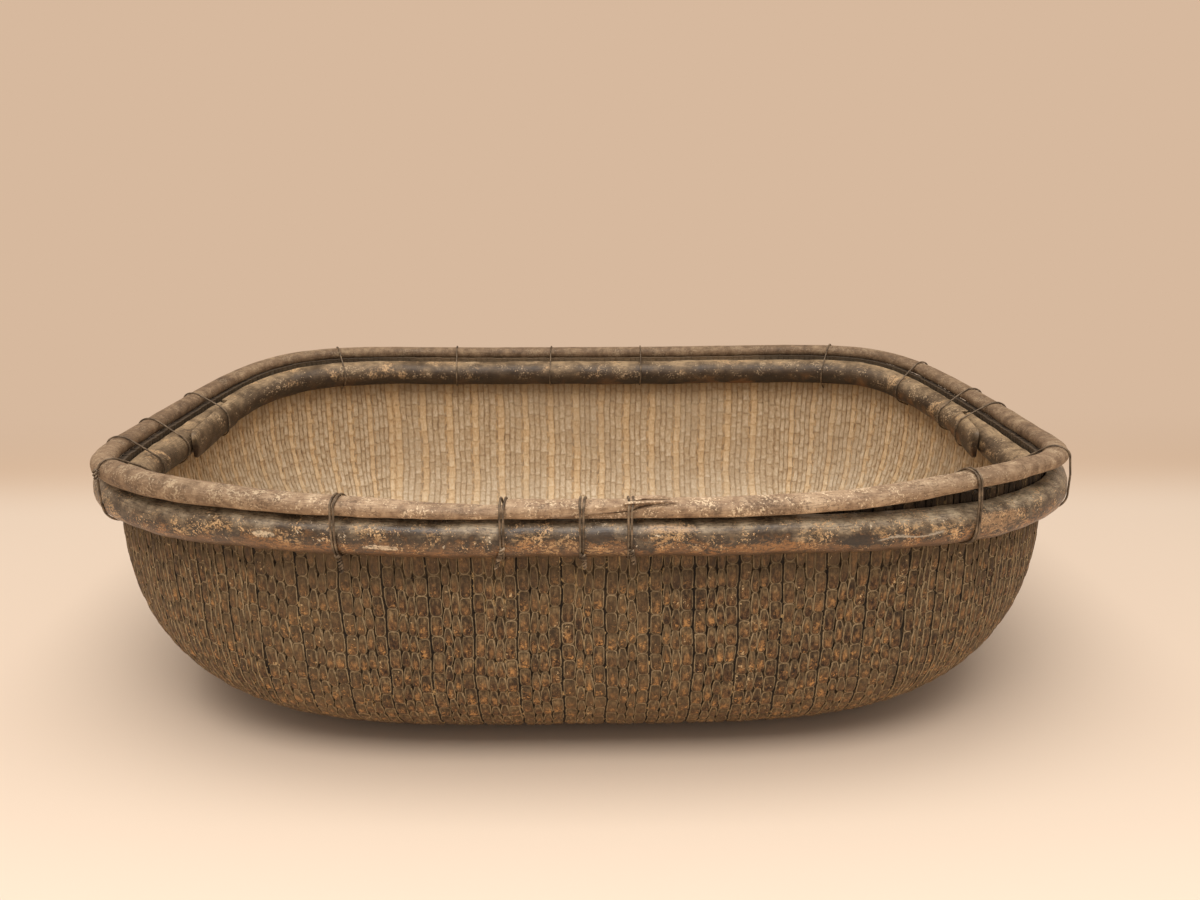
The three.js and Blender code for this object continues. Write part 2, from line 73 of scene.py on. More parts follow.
def outlineAt(level):
    s = basketShape
    clamp = s["clampDepth"] / (s["height"] - s["endDip"] - s["wallTopDrop"])
    share = np.clip((level - clamp) / (1 - clamp), 0, 1)
    endIn = 1 - (1 - share ** s["endRise"]) ** s["endTurn"]
    sideIn = 1 - (1 - share ** s["sideRise"]) ** s["sideTurn"]
    halfLength = (s["rimLength"] - (s["rimLength"] - s["floorLength"]) * endIn) / 2
    halfWidth = (s["rimWidth"] - (s["rimWidth"] - s["floorWidth"]) * sideIn) / 2
    square = s["rimSquareness"] + (s["floorSquareness"] - s["rimSquareness"]) * share ** 2
    return halfLength, halfWidth, square


def walkedLength(points):
    return np.concatenate([[0], np.cumsum(np.linalg.norm(np.diff(points, axis=0), axis=1))])


# The rim is walked by its length, anticlockwise from the middle of the front
rimHalf = np.array([basketShape["rimLength"], basketShape["rimWidth"]]) / 2
rimPower = basketShape["rimSquareness"]
rimSamples = 5761
rimAngles = np.linspace(-math.pi / 2, 1.5 * math.pi, rimSamples)
rimPoints = np.stack([np.cos(rimAngles), np.sin(rimAngles)], -1)
rimPoints /= (np.abs(rimPoints / rimHalf) ** rimPower).sum(-1, keepdims=True) ** (1 / rimPower)
rimAlong = walkedLength(rimPoints)
perimeter = rimAlong[-1]
sideMiddle = {"front": 0, "right": perimeter / 4, "back": perimeter / 2, "left": perimeter * 3 / 4}


def rimAt(along):
    wrapped = np.mod(along, perimeter)
    point = np.stack([np.interp(wrapped, rimAlong, rimPoints[:, i]) for i in (0, 1)], -1)
    outward = np.sign(point) * np.abs(point / rimHalf) ** (rimPower - 1) / rimHalf
    return point, outward / np.linalg.norm(outward, axis=-1, keepdims=True)


def rimTurn(point):
    return np.arctan2(*np.moveaxis(np.abs(point / rimHalf) ** (rimPower / 2), -1, 0)[::-1])


def rimHeight(point):
    turn = rimTurn(point)
    dip = np.where(turn < math.pi / 4, basketShape["endDip"], basketShape["sideDip"])
    return basketShape["height"] - dip * np.cos(2 * turn) ** 2


def deselectAll():
    if bpy.context.mode != "OBJECT":
        bpy.ops.object.mode_set(mode="OBJECT")
    bpy.ops.object.select_all(action="DESELECT")


# A round stick with even rings, the start of every rod and pole
def makeBlank(name, sides, cuts):
    deselectAll()
    bpy.ops.mesh.primitive_cylinder_add(vertices=sides, radius=0.01, depth=1)
    stick = bpy.context.object
    stick.name = name
    bpy.context.tool_settings.mesh_select_mode = (False, True, False)
    rings = 1
    for count in cuts:
        bpy.ops.object.mode_set(mode="EDIT")
        bpy.ops.mesh.select_all(action="DESELECT")
        bpy.ops.object.mode_set(mode="OBJECT")
        for edge in stick.data.edges:
            start, end = (stick.data.vertices[i].co.z for i in edge.vertices)
            edge.select = abs(start - end) > 1e-4
        bpy.ops.object.mode_set(mode="EDIT")
        bpy.ops.mesh.subdivide(number_cuts=count)
        bpy.ops.object.mode_set(mode="OBJECT")
        rings *= count + 1
    flat = np.empty(len(stick.data.vertices) * 3)
    stick.data.vertices.foreach_get("co", flat)
    places = flat.reshape(-1, 3)
    ring = np.rint((places[:, 2] + 0.5) * rings).astype(int)
    turn = np.arctan2(places[:, 1], places[:, 0]) / fullTurn * sides
    side = np.mod(np.rint(turn).astype(int), sides)
    turns = fullTurn * np.arange(sides) / sides
    return {"stick": stick, "ring": ring, "side": side, "rings": rings, "sides": sides, "turns": turns}


# A copy of a blank, with the points of each ring and side put in place
def shapeBlank(blank, name, points, layers):
    piece = blank["stick"].copy()
    piece.data = blank["stick"].data.copy()
    piece.name = name
    bpy.context.collection.objects.link(piece)
    at = (blank["ring"], blank["side"])
    piece.data.vertices.foreach_set("co", points[at].astype(np.float32).ravel())
    for layer, values in layers.items():
        store = piece.data.attributes.new(layer, "FLOAT_VECTOR", "POINT")
        store.data.foreach_set("vector", values[at].astype(np.float32).ravel())
    piece.data.update()
    return piece


def pick(pieces):
    deselectAll()
    for piece in pieces:
        piece.select_set(True)
    bpy.context.view_layer.objects.active = pieces[0]


def joinPieces(name, pieces, smoothAngle=60):
    pick(pieces)
    if len(pieces) > 1:
        bpy.ops.object.join()
    joined = bpy.context.object
    joined.name = name
    bpy.ops.object.mode_set(mode="EDIT")
    bpy.ops.mesh.select_all(action="SELECT")
    bpy.ops.mesh.normals_make_consistent(inside=False)
    bpy.ops.object.mode_set(mode="OBJECT")
    bpy.ops.object.shade_smooth_by_angle(angle=math.radians(smoothAngle))
    return joined


def standFor(piece, node, material):
    piece.data.materials.clear()
    piece.data.materials.append(material)
    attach(piece, "root")
    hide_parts(node)


# Colour as seen on a screen, 0 to 255
def tone(red, green, blue):
    linear = [((v / 255 + 0.055) / 1.055) ** 2.4 if v > 10 else v / 255 / 12.92 for v in (red, green, blue)]
    return (*linear, 1.0)


# What a node puts out. Sums are written as plain arithmetic, in the node tree being built
class Signal:
    def __init__(self, socket):
        self.socket = socket

    def __add__(self, other):
        return calc("ADD", self, other)

    def __sub__(self, other):
        return calc("SUBTRACT", self, other)

    def __rsub__(self, other):
        return calc("SUBTRACT", other, self)

    def __mul__(self, other):
        return calc("MULTIPLY", self, other)

    def __truediv__(self, other):
        return calc("DIVIDE", self, other)

    def __rtruediv__(self, other):
        return calc("DIVIDE", other, self)


# Colours with three values are tones, those with four are linear
def plug(socket, value):
    if isinstance(value, Signal):
        tree.links.new(value.socket, socket)
    elif socket.type == "RGBA" and len(value) == 3:
        socket.default_value = tone(*value)
    else:
        socket.default_value = value


def addNode(kind, values, output=0, **settings):
    node = tree.nodes.new("ShaderNode" + kind)
    for name, setting in settings.items():
        setattr(node, name, setting)
    for name, value in values:
        plug(node.inputs[name], value)
    return Signal(node.outputs[output])


def calc(operation, *values):
    return addNode("Math", enumerate(values), operation=operation)


def moved(place, *step):
    return addNode("VectorMath", enumerate((place, step)), operation="ADD")


def scaled(place, *size):
    return addNode("VectorMath", enumerate((place, size)), operation="MULTIPLY")


def stretch(value, low, high, outLow=0.0, outHigh=1.0):
    return addNode("MapRange", enumerate((value, low, high, outLow, outHigh)), interpolation_type="SMOOTHSTEP")


def cloud(vector, scale, detail, roughness, warp=0.0):
    values = {"Vector": vector, "Scale": scale, "Detail": detail, "Roughness": roughness, "Distortion": warp}
    return addNode("TexNoise", values.items(), "Fac")


def gather(x, y, z=0.0):
    return addNode("CombineXYZ", enumerate((x, y, z)))


def chance(x, y, z=0.0):
    return addNode("TexWhiteNoise", [("Vector", gather(x, y, z))], "Value", noise_dimensions="3D")


def objectPlace():
    return addNode("TexCoord", [], "Object")


def split(vector):
    node = tree.nodes.new("ShaderNodeSeparateXYZ")
    plug(node.inputs[0], vector)
    return [Signal(socket) for socket in node.outputs]


def readLayer(layer):
    return split(addNode("Attribute", [], "Vector", attribute_name=layer))


def blend(factor, under, over, way="MIX"):
    return addNode("Mix", [(0, factor), (6, under), (7, over)], 2, data_type="RGBA", blend_type=way)


# Named tones laid over a colour in turn, each with its amount
def layered(colour, tones, **amounts):
    for name, amount in amounts.items():
        colour = blend(amount, colour, tones[name])
    return colour


def ramp(value, stops):
    node = tree.nodes.new("ShaderNodeValToRGB")
    stripe = node.color_ramp
    while len(stripe.elements) < len(stops):
        stripe.elements.new(0.5)
    for element, (place, colour) in zip(stripe.elements, stops.items()):
        element.position = place
        element.color = tone(*colour)
    plug(node.inputs[0], value)
    return Signal(node.outputs[0])


# A group that puts out a mask. Inputs are numbers with a default, or vectors
def newGroup(name, **inputs):
    global tree
    tree = bpy.data.node_groups.new(name, "ShaderNodeTree")
    for label, value in inputs.items():
        kind = "NodeSocketVector" if value is None else "NodeSocketFloat"
        socket = tree.interface.new_socket(label, in_out="INPUT", socket_type=kind)
        if value is not None:
            socket.default_value = value
    tree.interface.new_socket("Mask", in_out="OUTPUT", socket_type="NodeSocketFloat")
    given = {socket.name: Signal(socket) for socket in tree.nodes.new("NodeGroupInput").outputs}
    return tree, given, tree.nodes.new("NodeGroupOutput").inputs["Mask"]


def mask(group, **values):
    return addNode("Group", values.items(), "Mask", node_tree=group)


# Small flecks that come in clusters
fleckGroup, given, made = newGroup("flecks", Vector=None, Scale=500.0, Least=0.62)
speck = cloud(given["Vector"], given["Scale"], 3.0, 0.65)
cluster = cloud(given["Vector"], given["Scale"] * 0.13, 2.0, 0.5)
raised = speck + (cluster - 0.5) * 0.55
plug(made, stretch(raised, given["Least"], given["Least"] + 0.06))

# Patches with ragged edges, for wear and patina
patchGroup, given, made = newGroup("ragged patches", Vector=None, Scale=30.0, Least=0.5, Softness=0.08)
rough = cloud(given["Vector"], given["Scale"], 6.0, 0.62, 0.4)
plug(made, stretch(rough, given["Least"], given["Least"] + given["Softness"]))

# One mark at a known place along a pole and up its face
markGroup, given, made = newGroup(
    "pole mark", Along=0.0, Height=0.0, Vector=None, Middle=0.0, Level=0.0, Reach=0.01, Rise=0.2
)
farAlong = (given["Along"] - given["Middle"]) / given["Reach"]
farUp = (given["Height"] - given["Level"]) / given["Rise"]
far = calc("SQRT", farAlong * farAlong + farUp * farUp)
ragged = cloud(given["Vector"], 320.0, 4.0, 0.65) - 0.5
plug(made, stretch(far + ragged * 1.5, 1.0, 0.72))


def flecks(place, scale, least):
    return mask(fleckGroup, Vector=place, Scale=scale, Least=least)


def patches(place, scale, least, softness):
    return mask(patchGroup, Vector=place, Scale=scale, Least=least, Softness=softness)


def newMaterial(name, specular):
    global tree
    material = bpy.data.materials.new(name)
    material.use_nodes = True
    tree = material.node_tree
    shader = tree.nodes["Principled BSDF"]
    shader.inputs["Specular IOR Level"].default_value = specular
    return material, shader


def dress(shader, colour, roughness, relief, strength, distance):
    plug(shader.inputs["Base Color"], colour)
    plug(shader.inputs["Roughness"], roughness)
    values = {"Strength": strength, "Distance": distance, "Height": relief}
    plug(shader.inputs["Normal"], addNode("Bump", values.items()))


# Rods, four to a group: wide, two narrow ones whose cells are staggered, wide
rodLook = {
    "groupWidths": (0.29, 0.215, 0.215, 0.28),
    "widthChange": (0.9, 1.1),
    "narrow": (False, True, True, False),
    "narrowWidth": (0.56, 0.56, 0.8),  # share at a cell's ends, swelling in its middle, power of the swelling
    "wideWidth": (0.93, 0.06, 0.5),
    "lowBelly": 1.35,  # cells are widest below the middle, like a drop
    "fanGroups": 3,
    "groupGap": 0.0005,  # dark line between groups
    "gapChange": 0.0004,
    "gapPeriods": (0.031, 0.0127),
    "tuck": 0.0004,  # how far a rod's flank runs under the next rod
    "groupTuck": 0.0014,  # and under the next group
    "groupCrown": 0.0004,  # a group's outer edges lie deeper
    "strakeCuts": (19, 12),  # rings of the blanks, five to a cell
    "fanCuts": (16, 4),
    "hiddenTop": 0.0165,  # extra length of the first cell, behind the hoops
    "cellJitter": 0.16,
    "firstChange": (-0.15, 0.35),  # of the first cell's length, in cells
    "lastChange": 0.6,
    "groupStagger": (0, 0.4),
    "rodStagger": (-0.1, 0.3),
    "halfStagger": 0.5,  # of the second narrow rod
    "sink": (0.0001, 0.0005),
    "endSink": 0.0003,
    "pinch": 0.001,
    "shoulderDrop": 0.0009,
    "liningSink": 0.0003,
    "liningPinch": 0.0009,
    "outerGroove": 0.0024,
    "innerGroove": 0.0014,
    "grooveLeast": 0.35,
    "flatBelow": 0.0033,  # rods with less half width are flatter
    "sway": ((0.00045, 0.105, 0.21), (0.0003, 0.047, 0.083), (0.00018, 0.026, 0.031)),  # size, periods down and along
    "swayShift": 2.1,
    "groupSeam": 1.4,  # how far past the rod's edge a flank looks, darker when further
    "darkSeam": 1.22,
    "paleSeam": 1.04,
    "liningSeam": 1.2,
    "darkSeams": 0.35,  # share of the seams inside a group that are dark too
    "topRise": 0.0021,  # the rods' ends reach up to the top hoop
    "topJitter": 0.0005,
    "frayedJitter": 0.0075,  # ends in the open gap by the right front corner
    "frayedFrom": (0.13, -0.12),
    "seed": 11,
}
ringShares = np.array([0.0, 0.1, 0.32, 0.68, 0.9])  # places of the rings in a cell
padShape = np.array([0.0, 0.7, 1.0, 1.0, 0.7])
outerSides = np.array([-0.92, -0.6, 0.0, 0.6, 0.92])
outerDrop = np.array([1.0, 0.12, 0.3, 0.12, 1.0])  # share of the shoulder drop
innerSides = np.array([0.72, 0.0, -0.72])
innerDrop = np.array([1.1, 0.0, 1.1])
rodSides = len(outerSides) + len(innerSides) + 4
wallSamples = 121
floorSamples = 41
wallShares = np.linspace(0, 1, wallSamples)
wallLevels = 1 - (1 - wallShares) ** 2.5  # closer together where the wall turns under
levelLength, levelWidth, levelSquare = outlineAt(wallLevels)


def strakeLine(x):
    inside = (1 - np.abs(x / levelLength) ** levelSquare) ** (1 / levelSquare)
    y = levelWidth * inside
    z = (rimHeight(np.array([x, -y[0]])) - basketShape["wallTopDrop"]) * (1 - wallLevels)
    front = np.stack([np.full(wallSamples, x), -y, z], -1)
    floorY = np.linspace(-y[-1], y[-1], floorSamples)[1:-1]
    floor = np.stack([np.full(len(floorY), x), floorY, np.zeros(len(floorY))], -1)
    back = front[::-1] * (1, -1, 1)
    return np.concatenate([front, floor, back])


strakeWidth = 2 * basketShape["strakeReach"] / basketShape["strakeCount"]
frontRight = (rimPoints[:, 0] >= 0) & (rimPoints[:, 1] < 0)
strakeEnd = np.interp(basketShape["strakeReach"], rimPoints[frontRight, 0], rimAlong[frontRight])
fanLength = perimeter / 2 - 2 * strakeEnd
fanRootReach = abs(strakeLine(basketShape["strakeReach"])[wallSamples - 1, 1]) - basketShape["fanRootInset"]


def fanLine(side, share):
    rim, _ = rimAt(sideMiddle[side] + (share - 0.5) * fanLength)
    root = np.array([basketShape["fanRootStart"], (2 * share - 1) * fanRootReach])
    if side == "left":
        root = -root
    outward = (rim - root) / np.linalg.norm(rim - root)
    inside, outside = np.zeros(wallSamples), np.full(wallSamples, basketShape["rimLength"])
    for _ in range(44):  # halvings
        middle = (inside + outside) / 2
        point = root + outward * middle[:, None]
        spread = np.abs(point[:, 0] / levelLength) ** levelSquare + np.abs(point[:, 1] / levelWidth) ** levelSquare
        inside, outside = np.where(spread < 1, middle, inside), np.where(spread < 1, outside, middle)
    point = root + outward * inside[:, None]
    z = (rimHeight(rim) - basketShape["wallTopDrop"]) * (1 - wallLevels)
    wall = np.concatenate([point, z[:, None]], 1)
    shares = np.linspace(0, 1, floorSamples)[1:, None]
    floor = wall[-1] + (np.append(root, 0) - wall[-1]) * shares
    return np.concatenate([wall, floor])


def sampleLine(line, at):
    index = np.arange(len(line))
    return np.stack([np.interp(at, index, line[:, i]) for i in range(3)], -1)


# Lengths of a rod's cells. The first is long, because its top is behind the hoops
def cellEdges(length, count, bothEnds, offset, dice):
    sizes = np.array([1 + dice.uniform(-1, 1) * rodLook["cellJitter"] for _ in range(count)])
    usual = (length - rodLook["hiddenTop"] * (2 if bothEnds else 1)) / count
    sizes *= usual
    sizes[0] += rodLook["hiddenTop"] + usual * (offset + dice.uniform(*rodLook["firstChange"]))
    if bothEnds:
        sizes[-1] += rodLook["hiddenTop"] + usual * (1 - offset) * rodLook["lastChange"]
    edges = np.concatenate([[0], np.cumsum(sizes)])
    return edges * (length / edges[-1])


def swayAt(down, around):
    total = 0
    for number, (size, period, reach) in enumerate(rodLook["sway"]):
        phase = rodLook["swayShift"] * number
        total = total + size * np.sin(fullTurn * (down / period + around / reach) + phase)
    return total


def weaveRod(blank, name, lines, places, spot, offset, bothEnds, dice):
    look = rodLook
    left, middle, right = lines
    arc = walkedLength(middle)
    frayed = middle[0, 0] > look["frayedFrom"][0] and middle[0, 1] < look["frayedFrom"][1]
    topStart = dice.uniform(0, look["frayedJitter" if frayed else "topJitter"])
    backStart = dice.uniform(0, look["topJitter"]) if bothEnds else 0
    length = arc[-1] - topStart - backStart
    perCell = len(ringShares)
    cells = blank["rings"] // perCell
    edges = cellEdges(length, cells, bothEnds, offset, dice)
    sizes = np.diff(edges)
    arcs = np.append((edges[:-1, None] + sizes[:, None] * ringShares).ravel(), edges[-1]) + topStart
    along = np.append((np.arange(cells)[:, None] + ringShares).ravel(), cells - 1e-4)
    share = np.append(np.tile(ringShares, cells), 0.0)
    if bothEnds:  # cells hang from the rim on the back wall too
        share = np.where((along > cells / 2) & (share > 0), 1 - share, share)
        along = np.minimum(along, cells - along)
    pad = np.append(np.tile(padShape, cells), 0.0)
    cellSize = np.append(np.repeat(sizes, perCell), sizes[-1])
    at = np.interp(arcs, arc, np.arange(len(middle)))
    left, middle, right = (sampleLine(line, at) for line in lines)
    across = (right - left) / 2
    halfWidth = np.linalg.norm(across, axis=1, keepdims=True)
    across /= halfWidth
    down = np.gradient(middle, axis=0)
    inward = np.cross(across, down)
    inward /= np.linalg.norm(inward, axis=1, keepdims=True)
    least, swelling, power = look["narrowWidth" if look["narrow"][spot] else "wideWidth"]
    width = least + swelling * np.sin(math.pi * share ** look["lowBelly"]) ** power
    sinks = [dice.uniform(*look["sink"]) for _ in range(cells)]
    outerDepth = np.append(np.repeat(sinks, perCell), look["endSink"]) + look["pinch"] * (1 - pad)
    innerDepth = basketShape["wall"] - look["liningSink"] - look["liningPinch"] * (1 - np.roll(pad, 2))
    scale = np.minimum(halfWidth[:, 0] / look["flatBelow"], 1)
    waves = [np.sin(arcs / period + dice.uniform(*anyPhase)) for period in look["gapPeriods"]]
    ragged = 0.5 + 0.5 * waves[0] * waves[1]
    shrink = look["gapChange"] * ragged / halfWidth[:, 0]  # the gaps between groups vary in width

    rings = len(arcs)
    points, weave, rod, where = np.zeros((4, rings, blank["sides"], 3))
    where[..., 0] = (np.minimum(arcs, arc[-1] - arcs) if bothEnds else arcs)[:, None] * millimetres
    where[..., 1] = spot
    rod[..., 0] = halfWidth * width[:, None] * millimetres
    rod[..., 1] = cellSize[:, None] * millimetres
    rod[..., 2] = dice.random()
    weave[..., 1] = along[:, None]
    deep = look["grooveLeast"] + (1 - look["grooveLeast"]) * scale
    groove = look["outerGroove"] * deep
    floorGroove = basketShape["wall"] - look["innerGroove"] * deep
    reach, dark = [], []
    for end in (0, 3):
        reach.append(1 + look["groupTuck" if spot == end else "tuck"] / halfWidth[:, 0])
        if spot == end:
            dark.append(look["groupSeam"])
        else:
            dark.append(look["darkSeam" if dice.random() < look["darkSeams"] else "paleSeam"])
    crown = look["groupCrown"] * (-1, 0, 0, 1)[spot]
    sides = [(-reach[0], groove, dark[0], 0.0)]
    for u, drop in zip(outerSides, outerDrop):
        thin = 1 - shrink if (spot, u < 0) in ((0, True), (3, False)) else 1
        depth = outerDepth + look["shoulderDrop"] * drop * scale + max(crown * u, 0)
        sides.append((u * width * thin, depth, abs(u), 0.0))
    sides += [(reach[1], groove, dark[1], 0.0), (reach[1], floorGroove, look["liningSeam"], 1.0)]
    for u, drop in zip(innerSides, innerDrop):
        sides.append((u, innerDepth - look["shoulderDrop"] * drop * scale, abs(u), 1.0))
    sides.append((-reach[0], floorGroove, look["liningSeam"], 1.0))
    for index, (u, depth, edge, lining) in enumerate(sides):
        u = u * np.ones(rings)
        flat = left * (u * (u - 1) / 2)[:, None] + middle * (1 - u ** 2)[:, None] + right * (u * (u + 1) / 2)[:, None]
        around = places[0] + (places[1] - places[0]) * (u + 1) / 2
        points[:, index] = flat + inward * depth[:, None] + across * swayAt(arcs, around)[:, None]
        weave[:, index, 0] = edge
        weave[:, index, 2] = lining
    for end in (0, -1) if bothEnds else (0,):
        points[end, :, 2] += look["topRise"]
    return shapeBlank(blank, name, points, {"weave": weave, "rod": rod, "where": where})


# One group of rods between two shares of a bundle's width
def weaveGroup(blank, name, lineAt, placeAt, start, end, gapShare, bothEnds, dice):
    widths = np.array(rodLook["groupWidths"]) * np.array([dice.uniform(*rodLook["widthChange"]) for _ in range(4)])
    bounds = start + gapShare / 2 + (end - start - gapShare) * np.concatenate([[0], np.cumsum(widths / widths.sum())])
    stagger = dice.uniform(*rodLook["groupStagger"])
    rods = []
    for i in range(4):
        lines = [lineAt(place) for place in (bounds[i], (bounds[i] + bounds[i + 1]) / 2, bounds[i + 1])]
        offset = stagger + (rodLook["halfStagger"] if i == 2 else dice.uniform(*rodLook["rodStagger"]))
        places = (placeAt(bounds[i]), placeAt(bounds[i + 1]))
        rods.append(weaveRod(blank, f"{name}_{i}", lines, places, i, offset % 1, bothEnds, dice))
    return rods


# Distance inside a cell's outline, with its corners rounded
def roundedEdge(sideways, endways, radius):
    short = [calc("MAXIMUM", radius - away, 0.0) for away in (sideways, endways)]
    return radius - calc("SQRT", short[0] * short[0] + short[1] * short[1])


# Willow: each cell has a thin pale outline, a dark ring inside it and a mottled reddish heart.
# Lengths across and along a cell are in millimetres
willowTones = {
    "rim": {0.1: (54, 42, 29), 0.5: (82, 66, 47), 0.95: (112, 92, 67)},
    "dusty": {0.05: (44, 33, 23), 0.35: (80, 62, 43), 0.65: (114, 93, 66), 0.95: (152, 127, 94)},
    "heart": {0.05: (34, 22, 14), 0.3: (68, 45, 28), 0.5: (94, 69, 46), 0.7: (118, 87, 58), 0.95: (162, 123, 82)},
    "greyer": (104, 84, 60),
    "rust": (202, 152, 96),
    "bright": (196, 146, 92),
    "pale": (226, 196, 152),
    "worn": {0.3: (122, 105, 82), 0.7: (190, 166, 134)},
    "dust": (140, 108, 70),
    # painted shade under the hoops, together with the greyer, less worn first cells there
    "shade": (86, 70, 51),  # under the hoops
    "mortar": (104, 87, 64),
    # painted shade in the creases and grooves between rods
    "crease": (36, 26, 17),
    "groove": (18, 13, 9),
    "chips": (216, 182, 134),  # splinters along the edges
    "tint": (1.0, 0.97, 0.88, 1.0),
    "greyStraw": {0.15: (142, 115, 85), 0.45: (185, 157, 123), 0.7: (207, 183, 150), 0.95: (230, 210, 182)},
    "warmStraw": {0.15: (164, 129, 90), 0.45: (212, 175, 129), 0.7: (231, 198, 152), 0.95: (242, 218, 181)},
    "greyerStraw": (188, 168, 142),
    # painted shade on the lining under the inner hoop
    "strawShade": (112, 86, 58),
    # painted shade on the rods' ends under the top hoop, less dark along the back
    "endShade": (44, 35, 27),
    "backEndShade": (96, 77, 56),
    "gap": (30, 23, 17),  # shadowed ends in the open gap
}
willow, shader = newMaterial("weatheredWillow", 0.35)
place = objectPlace()
lengthways, backwards, height = split(place)
across, along, lining = readLayer("weave")
halfWidth, cellLength, seed = readLayer("rod")
fromTop, spot, _ = readLayer("where")
ruffle = cloud(place, 420.0, 4.0, 0.6)
ruffled = (ruffle - 0.5) * 0.8
patchy = cloud(place, 130.0, 3.0, 0.6)
fine = cloud(scaled(place, 1.0, 1.0, 0.3), 800.0, 4.0, 0.65)
mottle = cloud(scaled(place, 1.0, 1.0, 0.55), 430.0, 4.0, 0.68)
broad = cloud(place, 14.0, 3.0, 0.55)
inCell = calc("FRACT", along)
cell = calc("FLOOR", along)
cellChance = chance(cell, seed * 97.0)
openEdge = (1.0 - across) * halfWidth
bridge = chance(calc("ROUND", along), seed * 53.0, 7.0) * 0.6  # some cells run into the next
toTop = inCell * cellLength + bridge
toBottom = (1.0 - inCell) * cellLength + bridge
headEdge = roundedEdge(openEdge, toTop, halfWidth * 0.6)
footEdge = roundedEdge(openEdge, toBottom, halfWidth * 0.86)
edge = calc("MINIMUM", headEdge, footEdge) + ruffled * 0.9
outline = stretch(edge, 0.04, 0.2) * stretch(edge, 0.85, 0.4) * stretch(patchy, 0.32, 0.56, 0.45, 1.0)
# hairline, crease and groove paint shade into the gaps between rods and cells
hairline = stretch(openEdge + ruffled * 0.55, 0.14, -0.05) * stretch(patchy, 0.6, 0.38, 0.35, 1.0)
mortar = stretch(edge, 0.12, -0.08)
crease = calc("MAXIMUM", hairline, mortar * stretch(patchy, 0.5, 0.38, 0.0, 0.85))
groove = stretch(openEdge + ruffled * 0.4, 0.0, -0.24)
core = stretch(edge, 0.5, 1.7)
lower = stretch(inCell + ruffled, 0.15, 0.62)
cellShade = cellChance * 0.35 + mottle * 2.6 - 1.0
rim, dusty, heart = (ramp(cellShade, willowTones[name]) for name in ("rim", "dusty", "heart"))
rust = flecks(place, 600.0, 0.6) * (core * lower) * stretch(height, 0.16, 0.07, 0.3, 0.9)
# some cells are worn bright in the middle, more of them low down
endways = (inCell - 0.58) * 2.1
tatter = ruffled * 1.6 + (fine - 0.5) * 2.6
middle = stretch(calc("SQRT", across * across + endways * endways) + tatter, 0.5, 0.1)
bright = middle * stretch(chance(cell, seed * 31.0, 3.0), 0.5, 0.8) * stretch(height, 0.15, 0.04, 0.2, 0.6)
pale = flecks(moved(place, 0.31, 0.17, 0.05), 460.0, 0.69)
worn = ramp(patchy * 0.5 + fine * 0.5, willowTones["worn"])
dust = stretch(height, 0.075, 0.0) * stretch(ruffle, 0.35, 0.62)
edgeAcross = openEdge * calc("MAXIMUM", 3.6 / calc("MAXIMUM", halfWidth, 2.0), 1.0)
chips = flecks(moved(scaled(place, 1.0, 1.0, 0.45), 0.12, 0.43, 0.26), 420.0, 0.63) * stretch(edgeAcross, 0.9, 0.1)
bark = layered(
    blend(core, rim, blend(lower, dusty, heart)),
    willowTones,
    greyer=stretch(broad, 0.42, 0.68, 0.0, 0.5),
    rust=rust,
    bright=bright,
    pale=pale * 0.85,
)
bark = layered(
    blend(outline, bark, worn),
    willowTones,
    dust=dust * 0.3,
    # painted shade under the hoops, together with the greyer, less worn first cells there
    shade=stretch(fromTop, 54.0, 38.0) * 0.4,
    mortar=mortar * 0.7,
    # painted shade in the creases and grooves between rods
    crease=crease,
    groove=groove * stretch(patchy, 0.35, 0.5, 1.0, 0.7),
    chips=chips * 0.8,
)
bark = blend(1.0, bark, willowTones["tint"], "MULTIPLY")
# the lining: rounded beads, darker towards their edges as painted shade, one paler column to a group
column = calc("COMPARE", spot, 0.0, 0.4)
beadEdge = calc("SMOOTH_MIN", edgeAcross, calc("MINIMUM", toTop, toBottom), 1.6) + ruffled
# the straw tone darkens towards each bead's edge, a painted shade of the rounded beads
strawShade = stretch(beadEdge, -0.4, 2.3) * 0.27 + cellChance * 0.2 + (mottle * 1.05 - 0.19)
greyStraw, warmStraw = (ramp(strawShade, willowTones[name]) for name in ("greyStraw", "warmStraw"))
straw = layered(
    blend(column * 0.7, greyStraw, warmStraw),
    willowTones,
    greyerStraw=stretch(broad, 0.4, 0.66, 0.0, 0.3),
    # painted shade on the lining under the inner hoop
    strawShade=stretch(fromTop, 50.0, 27.0) * 0.45,
)
# painted shade on the rods' ends above the hoops, less dark along the back
backEnds = stretch(backwards, 0.19, 0.22) * stretch(calc("ABSOLUTE", lengthways), 0.21, 0.15)
gap = stretch(lengthways, 0.12, 0.17) * stretch(backwards, -0.1, -0.15)
gap = gap * (stretch(fromTop, 24.0, 12.0) * stretch(cellChance + mottle, 0.7, 1.2, 0.8, 0.15))
endShade = blend(backEnds, willowTones["endShade"], willowTones["backEndShade"])
skin = blend(stretch(lining, 0.55, 0.8), bark, straw)
skin = blend(stretch(fromTop, 9.0, 3.0, 0.0, 0.8), skin, endShade)
skin = blend(gap, skin, willowTones["gap"])
matt = stretch(fine, 0.25, 0.75, 0.66, 0.88) - core * 0.12
relief = fine * 0.4 + outline * 0.35 + mottle * 0.9 - (groove * 0.6 + crease)
dress(shader, skin, matt, relief, 0.7, 0.0009)
print("willow material ready")

